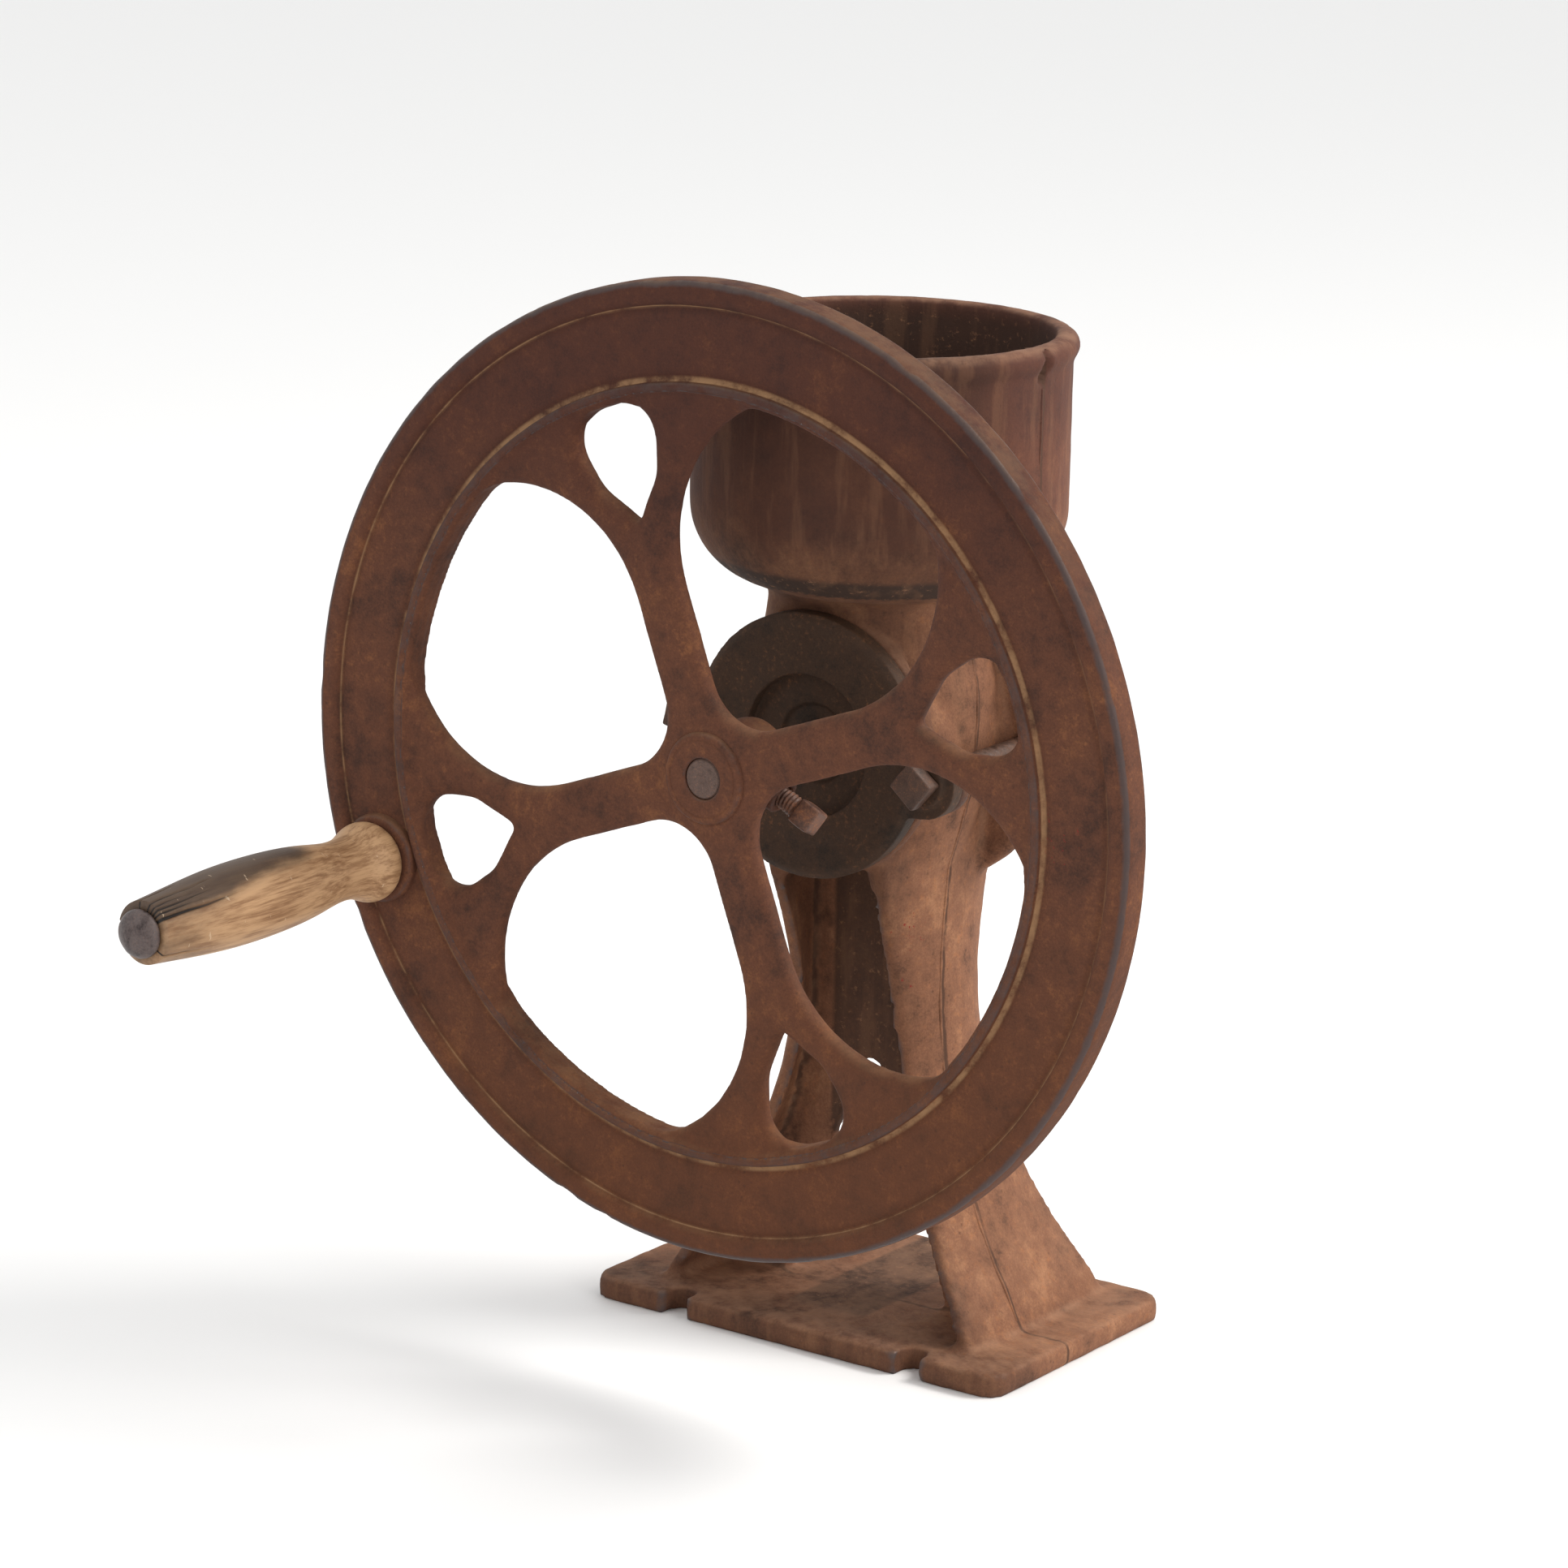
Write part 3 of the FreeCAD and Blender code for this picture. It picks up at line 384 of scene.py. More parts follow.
@dataclass(frozen=True)
class CastIron:
    """Finish of a rusty casting.

    Attributes give its rust colours, the size of its patches in metres, how much dust, wear and grain it has,
    how much painted shade darkens its hollows and its inside, and its zones of tint and painted shade.
    """

    name: str
    dark: Colour
    body: Colour
    light: Colour
    light_share: float = 0.5
    patch: float = 0.035
    dust: Colour = (0.30, 0.19, 0.105)
    dust_amount: float = 0.7
    up_dust: float = 1.0
    worn: Colour = (0.075, 0.058, 0.056)
    wear_reach: float = 0.3
    grain: float = 0.0016
    relief: float = 0.0005
    roughness: float = 0.82
    streaks: float = 0.0
    seam: float = 0.0
    bloom: Colour = (0.30, 0.115, 0.042)
    # Painted shade: how much the hollows are darkened, and the dark colour painted inside hopper and chute.
    hollow_shade: float = 0.0
    inside: Colour | None = None
    zones: tuple[Zone, ...] = ()
    paint: tuple[PaintSpot, ...] = ()
    red: Colour = (0.20, 0.016, 0.014)

    def build(self) -> bpy.types.Material:
        """Makes the material."""
        material, kit, shader = new_material(self.name)
        coords = kit.add("TexCoord").outputs
        place = coords["Object"]
        edge = kit.add("Attribute", {"attribute_name": "edge"}).outputs["Fac"]
        hollow = kit.add("Attribute", {"attribute_name": "hollow"}).outputs["Fac"]
        rust = RUST.place(kit, Vector=place, Scale=1 / self.patch, Dark=self.dark, Body=self.body,
                          Light=self.light, Light_Share=self.light_share, Bloom=self.bloom)
        grain = GRAIN.place(kit, Vector=place, Size=self.grain)
        colour = rust["Color"]
        # Zones mix in colours of their own: real tints, and painted shade over the body's front.
        for zone in self.zones:
            mask = ZONE.place(kit, Vector=place, Direction=zone.direction, Start=zone.start, End=zone.end,
                              Ragged=zone.ragged)["Mask"]
            zone_tint_and_shade = kit.mix(0.55, zone.colour, kit.mix(1.0, colour, zone.colour, "OVERLAY"))
            colour = kit.mix(kit.math("MULTIPLY", mask, zone.share), colour, zone_tint_and_shade)
        # Painted shade inside the hopper and down the chute: a dark colour flecked with lighter rust.
        if self.inside:
            inside = kit.add("Attribute", {"attribute_name": "inside"}).outputs["Fac"]
            spots = kit.step(kit.noise(place, 260.0, 5.0, 0.75), 0.56, 0.7)
            shaded_inside = kit.mix(kit.math("MULTIPLY", spots, 0.6), self.inside, self.light)
            colour = kit.mix(inside, colour, shaded_inside)
        if self.streaks:
            runs = kit.noise(kit.scaled(place, (1.0, 1.0, 0.12)), 110.0, 4.0, 0.6)
            strength = kit.math("MULTIPLY", kit.step(runs, 0.48, 0.66), self.streaks)
            colour = kit.mix(strength, colour, self.light)
        colour = kit.mix(kit.math("MULTIPLY", grain["Pits"], 0.5), colour, self.dark)
        if self.seam:
            colour = kit.mix(self.seam_mask(kit, place), colour, self.dark)
        # Painted shade: hollows darkened towards the dark rust colour.
        if self.hollow_shade:
            deep = kit.math("MULTIPLY", kit.step(hollow, 0.1, 0.5), self.hollow_shade)
            colour = kit.mix(deep, colour, self.dark)
        wear = WEAR.place(kit, Vector=place, Edge=edge, Reach=self.wear_reach)
        colour = kit.mix(kit.math("MULTIPLY", wear["Worn"], 0.82), colour, self.worn)
        up = kit.add("SeparateXYZ", None, Vector=coords["Normal"]).outputs["Z"]
        lift = kit.math("MULTIPLY", kit.step(up, 0.25, 0.95), self.up_dust)
        dust = DUST.place(kit, Vector=place, Hollow=hollow, Up=lift, Amount=self.dust_amount)
        colour = kit.mix(dust["Dust"], colour, self.dust)
        for spot in self.paint:
            fleck = FLECKS.place(kit, Vector=place, Centre=spot.centre, Reach=spot.reach,
                                 Density=spot.density)
            colour = kit.mix(fleck["Paint"], colour, self.red)
        colour = kit.mix(wear["Bright"], colour, (0.42, 0.40, 0.40))
        kit.feed(shader.inputs["Base Color"], colour)
        rough = kit.math("SUBTRACT", self.roughness, kit.math("MULTIPLY", wear["Worn"], 0.34))
        rough = kit.math("ADD", rough, kit.math("MULTIPLY", kit.math("SUBTRACT", rust["Tone"], 0.5), 0.3))
        kit.feed(shader.inputs["Roughness"], rough)
        metal = kit.math("ADD", kit.math("MULTIPLY", wear["Worn"], 0.25), wear["Bright"], True)
        kit.feed(shader.inputs["Metallic"], metal)
        shader.inputs["Specular IOR Level"].default_value = 0.22
        height = kit.math("ADD", grain["Height"], kit.math("MULTIPLY", rust["Tone"], 0.8))
        bump = kit.add("Bump", None, Height=height, Strength=0.55, Distance=self.relief)
        kit.feed(shader.inputs["Normal"], bump.outputs["Normal"])
        return material

    def seam_mask(self, kit: Tree, place: bpy.types.NodeSocket) -> bpy.types.NodeSocket:
        """Dark line along the parting plane.

        Args:
            kit: the material's tree.
            place: Object coordinates.

        Returns:
            Its mask.
        """
        wander = kit.math("MULTIPLY", kit.math("SUBTRACT", kit.noise(place, 90.0), 0.5), 0.0035)
        y = kit.math("ADD", kit.add("SeparateXYZ", None, Vector=place).outputs["Y"], wander)
        away = kit.math("ABSOLUTE", kit.math("SUBTRACT", y, SEAM_Y + 0.0012))
        line = kit.math("SUBTRACT", 1.0, kit.step(away, 0.0004, 0.0016))
        patchy = kit.step(kit.noise(place, 35.0, 4.0, 0.7), 0.3, 0.5)
        return kit.math("MULTIPLY", kit.math("MULTIPLY", line, patchy), self.seam)


@dataclass(frozen=True)
class RustedSteel:
    """Finish of forged or turned iron: fasteners, shaft and spindle."""

    name: str
    dark: Colour
    body: Colour
    rust: Colour
    rust_share: float = 0.5
    roughness: float = 0.6
    metallic: float = 0.3
    patch: float = 0.008
    relief: float = 0.00025

    def build(self) -> bpy.types.Material:
        """Makes the material."""
        material, kit, shader = new_material(self.name)
        place = kit.add("TexCoord").outputs["Object"]
        edge = kit.add("Attribute", {"attribute_name": "edge"}).outputs["Fac"]
        rust = RUST.place(kit, Vector=place, Scale=1 / self.patch, Dark=self.dark, Body=self.body,
                          Light=self.rust, Light_Share=self.rust_share)
        grain = GRAIN.place(kit, Vector=place, Size=0.0009)
        wear = WEAR.place(kit, Vector=place, Edge=edge, Reach=0.3)
        colour = kit.mix(kit.math("MULTIPLY", grain["Pits"], 0.6), rust["Color"], self.dark)
        colour = kit.mix(kit.math("MULTIPLY", wear["Worn"], 0.6), colour, (0.16, 0.13, 0.12))
        kit.feed(shader.inputs["Base Color"], colour)
        patches = kit.step(rust["Tone"], 0.4, 0.6)
        kit.feed(shader.inputs["Roughness"], kit.math("ADD", self.roughness - 0.12,
                                                      kit.math("MULTIPLY", patches, 0.24)))
        bare = kit.math("SUBTRACT", 1.0, patches)
        kit.feed(shader.inputs["Metallic"], kit.math("MULTIPLY", bare, self.metallic))
        height = kit.math("ADD", grain["Height"], kit.math("MULTIPLY", rust["Tone"], 1.2))
        bump = kit.add("Bump", None, Height=height, Strength=0.5, Distance=self.relief)
        kit.feed(shader.inputs["Normal"], bump.outputs["Normal"])
        return material


@dataclass(frozen=True)
class HandleWood:
    """Old hardwood grip: fibres along the shaft, dark hand stains, drying cracks filled with painted shade.
    """

    name: str = "worn_grip_wood"
    pale: Colour = (0.50, 0.30, 0.155)
    brown: Colour = (0.235, 0.115, 0.05)
    stain: Colour = (0.045, 0.027, 0.018)

    def build(self, centre: Vector, tip_y: float, root_y: float) -> bpy.types.Material:
        """Makes the material.

        Args:
            centre: a point on the grip's axis.
            tip_y: the grip's free end.
            root_y: its end at the wheel.

        Returns:
            The material.
        """
        material, kit, shader = new_material(self.name)
        coords = kit.add("TexCoord").outputs["Object"]
        local = kit.add("Mapping", None, Vector=coords, Location=(-centre.x, -root_y, -centre.z)).outputs[0]
        crack = kit.add("Attribute", {"attribute_name": "crack"}).outputs["Fac"]
        fibres = kit.noise(kit.scaled(local, (1.0, 0.045, 1.0)), 900.0, 6.0, 0.65)
        bands = kit.noise(kit.scaled(local, (1.0, 0.12, 1.0)), 190.0, 4.0, 0.6)
        tone = kit.math("ADD", kit.math("MULTIPLY", fibres, 0.5), kit.math("MULTIPLY", bands, 0.5))
        colour = kit.mix(kit.step(tone, 0.36, 0.6), self.brown, self.pale)
        parts = kit.add("SeparateXYZ", None, Vector=local).outputs
        along = kit.math("DIVIDE", parts["Y"], tip_y - root_y)
        smudge = kit.noise(kit.scaled(local, (1.0, 0.4, 1.0)), 55.0, 5.0, 0.65)
        height = kit.math("SUBTRACT", parts["Z"], kit.math("MULTIPLY", parts["X"], 0.35))
        above = kit.math("DIVIDE", height, 0.021)
        top = kit.math("MULTIPLY", kit.step(above, 0.05, 0.95), kit.step(along, 0.22, 0.42))
        tip = kit.math("MULTIPLY", kit.step(along, 0.5, 0.95), 0.62)
        neck = kit.math("MULTIPLY", kit.math("SUBTRACT", 1.0, kit.step(along, 0.0, 0.06)), 0.55)
        grime = kit.math("ADD", kit.math("ADD", top, tip), neck)
        grime = kit.math("MULTIPLY", grime, kit.math("ADD", 0.35, kit.math("MULTIPLY", smudge, 1.3)))
        strands = kit.math("MULTIPLY", kit.math("SUBTRACT", fibres, 0.5), 0.5)
        grime = kit.step(kit.math("ADD", grime, strands), 0.3, 1.0)
        colour = kit.mix(kit.math("MULTIPLY", grime, 0.9), colour, self.stain)
        nicks = kit.noise(kit.scaled(local, (0.35, 1.0, 0.35)), 420.0, 2.0, 0.5)
        marks = kit.math("MULTIPLY", kit.step(nicks, 0.7, 0.74), 0.5)
        colour = kit.mix(marks, colour, (0.62, 0.47, 0.32))
        # Painted shade: the splits filled with near-black.
        colour = kit.mix(kit.step(crack, 0.15, 0.7), colour, (0.008, 0.005, 0.004))
        kit.feed(shader.inputs["Base Color"], colour)
        kit.feed(shader.inputs["Roughness"], kit.math("ADD", 0.42, kit.math("MULTIPLY", fibres, 0.3)))
        shader.inputs["Specular IOR Level"].default_value = 0.4
        bump = kit.add("Bump", None, Height=tone, Strength=0.45, Distance=0.0005)
        kit.feed(shader.inputs["Normal"], bump.outputs["Normal"])
        return material


# ---------------------------------------------------------------- mesh kit


def merged_copy(node: str) -> bpy.types.Mesh:
    """A CAD node's mesh copied with its doubled points merged.

    Args:
        node: the node's name.

    Returns:
        The new mesh.
    """
    shape = bmesh.new()
    shape.from_mesh(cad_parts[node].data)
    bmesh.ops.remove_doubles(shape, verts=shape.verts, dist=1e-6)
    return mesh_from(shape, node + "_copy")


def mesh_from(shape: bmesh.types.BMesh, name: str) -> bpy.types.Mesh:
    """Writes a bmesh to a new mesh and frees it."""
    mesh = bpy.data.meshes.new(name)
    shape.to_mesh(mesh)
    shape.free()
    return mesh


def surface_area(mesh: bpy.types.Mesh) -> float:
    """Area of a mesh in square metres."""
    return sum(face.area for face in mesh.polygons)


def resolved(source: bpy.types.Object, name: str) -> bpy.types.Mesh:
    """The mesh of an object with its modifiers applied; the object is removed.

    Args:
        source: the object.
        name: the new mesh's name.

    Returns:
        The mesh.
    """
    bpy.context.view_layer.update()
    graph = bpy.context.evaluated_depsgraph_get()
    mesh = bpy.data.meshes.new_from_object(source.evaluated_get(graph))
    mesh.name = name
    bpy.data.objects.remove(source)
    return mesh


def cast_skin(solid: bpy.types.Mesh, faces: int, smoothing: int, name: str) -> bpy.types.Mesh:
    """An even skin over a solid, its edges rounded as a sand casting's are.

    Args:
        solid: closed mesh.
        faces: about how many faces the skin may have.
        smoothing: passes that round its edges.
        name: the new mesh's name.

    Returns:
        The skin's mesh.
    """
    carrier = bpy.data.objects.new(name, solid)
    bpy.context.scene.collection.objects.link(carrier)
    remesh = carrier.modifiers.new("skin", "REMESH")
    remesh.mode = "VOXEL"
    remesh.voxel_size = math.sqrt(surface_area(solid) / faces)
    smooth = carrier.modifiers.new("round", "SMOOTH")
    smooth.factor = 0.5
    smooth.iterations = smoothing
    return resolved(carrier, name)


def relaxed(mesh: bpy.types.Mesh, rounds: int) -> bpy.types.Mesh:
    """A smoothed copy of a mesh under the same name.

    Args:
        mesh: the mesh.
        rounds: smoothing passes.

    Returns:
        The new mesh.
    """
    carrier = bpy.data.objects.new(mesh.name, mesh)
    bpy.context.scene.collection.objects.link(carrier)
    smooth = carrier.modifiers.new("round", "SMOOTH")
    smooth.factor = 0.5
    smooth.iterations = rounds
    return resolved(carrier, mesh.name)


@dataclass(frozen=True)
class Roughness:
    """Lumps and pits of a cast surface, in metres."""

    lump: float = 0.011
    lump_height: float = 0.00022
    pit: float = 0.0042
    pit_depth: float = 0.00035

    def apply(self, mesh: bpy.types.Mesh) -> None:
        """Moves the points of a mesh along their normals."""
        normals = [vertex.normal.copy() for vertex in mesh.vertices]
        for vertex, normal in zip(mesh.vertices, normals):
            lump = noise.noise(vertex.co / self.lump) * self.lump_height
            pit = max(0.0, noise.noise(vertex.co / self.pit + Vector((7, 3, 1))) - 0.25) * self.pit_depth
            vertex.co += normal * (lump - pit)


def mark_edges(mesh: bpy.types.Mesh, spread: int = 3, gain: float = 3.0) -> None:
    """Stores how far each point stands on an edge or in a hollow, as attributes from 0 to 1.

    Args:
        mesh: the mesh.
        spread: passes that spread the values to the neighbours.
        gain: strength of the values.
    """
    count = len(mesh.vertices)
    places = np.empty(count * 3)
    mesh.vertices.foreach_get("co", places)
    places = places.reshape(-1, 3)
    normals = np.array([vertex.normal for vertex in mesh.vertices])
    ends = np.empty(len(mesh.edges) * 2, dtype=np.int64)
    mesh.edges.foreach_get("vertices", ends)
    first, second = ends.reshape(-1, 2).T
    away = places[second] - places[first]
    away /= np.maximum(np.linalg.norm(away, axis=1), 1e-9)[:, None]
    bend = np.zeros(count)
    links = np.zeros(count)
    np.add.at(bend, first, -np.einsum("ij,ij->i", away, normals[first]))
    np.add.at(bend, second, np.einsum("ij,ij->i", away, normals[second]))
    np.add.at(links, first, 1)
    np.add.at(links, second, 1)
    bend /= np.maximum(links, 1)
    for _ in range(spread):
        total = bend.copy()
        np.add.at(total, first, bend[second])
        np.add.at(total, second, bend[first])
        bend = total / (links + 1)
    for name, value in (("edge", bend), ("hollow", -bend)):
        attribute = mesh.attributes.new(name, "FLOAT", "POINT")
        attribute.data.foreach_set("value", np.clip(value * gain, 0, 1).astype(np.float32))


def piece(name: str, mesh: bpy.types.Mesh, material: bpy.types.Material, body: str,
          stands_for: tuple[str, ...] = ()) -> bpy.types.Object:
    """Makes a finished piece that rides on a body.

    Args:
        name: its name.
        mesh: its mesh, in place.
        material: its finish.
        body: the body it rides on.
        stands_for: CAD nodes that it replaces.

    Returns:
        The object.
    """
    made = bpy.data.objects.new(name, mesh)
    bpy.context.scene.collection.objects.link(made)
    mesh.materials.clear()
    mesh.materials.append(material)
    for face in mesh.polygons:
        face.use_smooth = True
    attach(made, body)
    if stands_for:
        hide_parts(*stands_for)
    LOG.info("%s: %d faces on %s", name, len(mesh.polygons), body)
    return made


def turned(points: list[tuple[float, float]], centre: Vector, steps: int) -> bmesh.types.BMesh:
    """A closed shape turned about an axis along Y.

    Args:
        points: (radius, y) round the section; a zero radius lies on the axis.
        centre: a point on the axis.
        steps: faces round the axis.

    Returns:
        The shape.
    """
    shape = bmesh.new()
    line = [shape.verts.new((centre.x + radius, y, centre.z)) for radius, y in points]
    edges = [shape.edges.new(pair) for pair in zip(line, line[1:])]
    if min(points[0][0], points[-1][0]) > 0:
        edges.append(shape.edges.new((line[-1], line[0])))
    bmesh.ops.spin(shape, geom=line + edges, cent=(centre.x, 0, centre.z), axis=(0, 1, 0),
                   angle=math.tau, steps=steps, use_merge=True)
    bmesh.ops.remove_doubles(shape, verts=shape.verts, dist=1e-7)
    bmesh.ops.recalc_face_normals(shape, faces=shape.faces)
    return shape


def arc(centre: tuple[float, float], radius: float, start: float, end: float,
        steps: int) -> list[tuple[float, float]]:
    """Points along an arc.

    Args:
        centre: its centre.
        radius: its radius.
        start: first angle in degrees.
        end: last angle in degrees.
        steps: how many stretches it has.

    Returns:
        The points.
    """
    angles = [math.radians(start + (end - start) * k / steps) for k in range(steps + 1)]
    return [(centre[0] + radius * math.cos(a), centre[1] + radius * math.sin(a)) for a in angles]


def finer(points: list[tuple[float, float]], longest: float) -> list[tuple[float, float]]:
    """The same line with no stretch longer than a limit.

    Args:
        points: the line's points.
        longest: the limit.

    Returns:
        The points with new ones between them.
    """
    made = [points[0]]
    for (x0, y0), (x1, y1) in zip(points, points[1:]):
        parts = max(1, math.ceil(math.hypot(x1 - x0, y1 - y0) / longest))
        made += [(x0 + (x1 - x0) * k / parts, y0 + (y1 - y0) * k / parts) for k in range(1, parts + 1)]
    return made


@dataclass(frozen=True)
class Thread:
    """A screw thread on a stretch of a rod along Y."""

    start: float
    end: float
    pitch: float
    depth: float

    def cut(self, shape: bmesh.types.BMesh, centre: Vector, radius: float) -> None:
        """Cuts the thread into a turned shape.

        Args:
            shape: the turned shape.
            centre: a point on its axis.
            radius: the rod's radius.
        """
        for vertex in shape.verts:
            x, z = vertex.co.x - centre.x, vertex.co.z - centre.z
            reach = math.hypot(x, z)
            if not self.start <= vertex.co.y <= self.end or abs(reach - radius) > radius * 0.05:
                continue
            phase = (vertex.co.y / self.pitch + math.atan2(z, x) / math.tau) % 1.0
            share = 1 - self.depth / radius * abs(phase * 2 - 1)
            vertex.co.x, vertex.co.z = centre.x + x * share, centre.z + z * share


def prism(sides: Shape, across: float, low: float, high: float, centre: Vector, turn: float,
          ease: float) -> bmesh.types.BMesh:
    """A bolt head or nut blank along Y with eased edges.

    Args:
        sides: its shape.
        across: its size across flats.
        low: its lower Y.
        high: its upper Y.
        centre: a point on its axis.
        turn: its turn about the axis in degrees.
        ease: width of the eased edges.

    Returns:
        The shape.
    """
    radius = across / 2 / math.cos(math.pi / sides.value)
    shape = bmesh.new()
    bmesh.ops.create_cone(shape, cap_ends=True, segments=sides.value, radius1=radius, radius2=radius,
                          depth=high - low)
    place = (Matrix.Translation((centre.x, (low + high) / 2, centre.z))
             @ Matrix.Rotation(math.radians(turn), 4, "Y") @ Matrix.Rotation(math.pi / 2, 4, "X"))
    bmesh.ops.transform(shape, matrix=place, verts=shape.verts)
    bmesh.ops.bevel(shape, geom=shape.edges[:] + shape.verts[:], offset=ease, segments=3, profile=0.5,
                    affect="EDGES", material=-1)
    bmesh.ops.subdivide_edges(shape, edges=shape.edges, cuts=2, use_grid_fill=True)
    return shape


def joined(shapes: list[bmesh.types.BMesh], name: str) -> bpy.types.Mesh:
    """Several closed shapes in one mesh.

    Args:
        shapes: the shapes.
        name: the mesh's name.

    Returns:
        The mesh.
    """
    whole = bmesh.new()
    for shape in shapes:
        part = mesh_from(shape, "part")
        whole.from_mesh(part)
        bpy.data.meshes.remove(part)
    return mesh_from(whole, name)


def centre_of(node: str) -> Vector:
    """Middle of a CAD node's box."""
    low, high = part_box(node)
    return (low + high) / 2


# ---------------------------------------------------------------- finishes

# Rust of the frame, with painted shade in its hollows, inside hopper and chute, and over its front.
BODY_RUST_AND_SHADE = CastIron(
    "body_rust_and_shade", dark=(0.064, 0.030, 0.018), body=(0.195, 0.086, 0.047), light=(0.34, 0.165, 0.085),
    light_share=0.55, patch=0.040, streaks=0.12, seam=0.9, hollow_shade=0.35, dust=(0.36, 0.20, 0.12),
    dust_amount=0.6, inside=(0.042, 0.024, 0.017),
    # The last zone is painted shade: the body darkened towards its front, facing the wheel.
    zones=(Zone((0.115, 0.045, 0.034), 0.72, 0.405, 0.435), Zone((0.088, 0.036, 0.028), 0.5, 0.44, 0.50),
           Zone((0.060, 0.030, 0.020), 0.55, 0.030, 0.062, (0.0, -1.0, 0.0), 0.02)),
    paint=(PaintSpot((0.040, -0.036, 0.215), 0.022), PaintSpot((0.033, -0.030, 0.190), 0.014)))
# Rust darker than the frame's: partly the wheel's own rust, partly painted shade of its front face.
WHEEL_RUST_AND_SHADE = CastIron(
    "wheel_rust_and_shade", dark=(0.040, 0.017, 0.011), body=(0.098, 0.036, 0.019), light=(0.185, 0.072, 0.030),
    light_share=0.5, patch=0.034, dust=(0.30, 0.17, 0.085), dust_amount=0.8, up_dust=0.45, wear_reach=0.24,
    worn=(0.058, 0.044, 0.043), bloom=(0.22, 0.085, 0.032),
    zones=(Zone((0.070, 0.022, 0.017), 0.6, 0.36, 0.50), Zone((0.160, 0.060, 0.022), 0.5, -0.27, -0.10,
                                                              (0.25, 0.0, -1.0))),
    paint=(PaintSpot((0.200, -0.158, 0.318), 0.030, 0.5), PaintSpot((0.215, -0.158, 0.262), 0.024, 0.35)))
# A darker copy of the casting rust: partly the dish's own rust, partly painted shadow of the wheel; its
# hollows get strong painted shade.
DISH_RUST_AND_SHADOW = CastIron(
    "dish_rust_and_shadow", dark=(0.020, 0.013, 0.009), body=(0.050, 0.026, 0.015), light=(0.105, 0.052, 0.026),
    light_share=0.35, patch=0.024, dust=(0.20, 0.11, 0.06), dust_amount=0.35, up_dust=0.5, roughness=0.7,
    hollow_shade=0.8, worn=(0.085, 0.060, 0.048))
PLATE_IRON = CastIron(
    "toothed_plate_iron", dark=(0.030, 0.022, 0.018), body=(0.085, 0.055, 0.040), light=(0.16, 0.09, 0.055),
    patch=0.012, dust_amount=0.2, up_dust=0.3, grain=0.0011)
FASTENER_RUST = RustedSteel(
    "fastener_rust", dark=(0.024, 0.014, 0.010), body=(0.070, 0.034, 0.021), rust=(0.155, 0.060, 0.026),
    rust_share=0.45)
RED_RUST_SCREW = RustedSteel(
    "orange_rust_screw", dark=(0.035, 0.017, 0.011), body=(0.095, 0.042, 0.026), rust=(0.22, 0.078, 0.03),
    rust_share=0.7)
SHAFT_STEEL = RustedSteel(
    "shaft_steel", dark=(0.035, 0.024, 0.020), body=(0.085, 0.048, 0.036), rust=(0.15, 0.062, 0.032),
    rust_share=0.4, metallic=0.5, roughness=0.5)
RIVET_STEEL = RustedSteel(
    "handled_steel", dark=(0.030, 0.022, 0.022), body=(0.085, 0.062, 0.058), rust=(0.16, 0.085, 0.055),
    rust_share=0.3, metallic=0.6, roughness=0.42, patch=0.006)

# ---------------------------------------------------------------- sub-assemblies


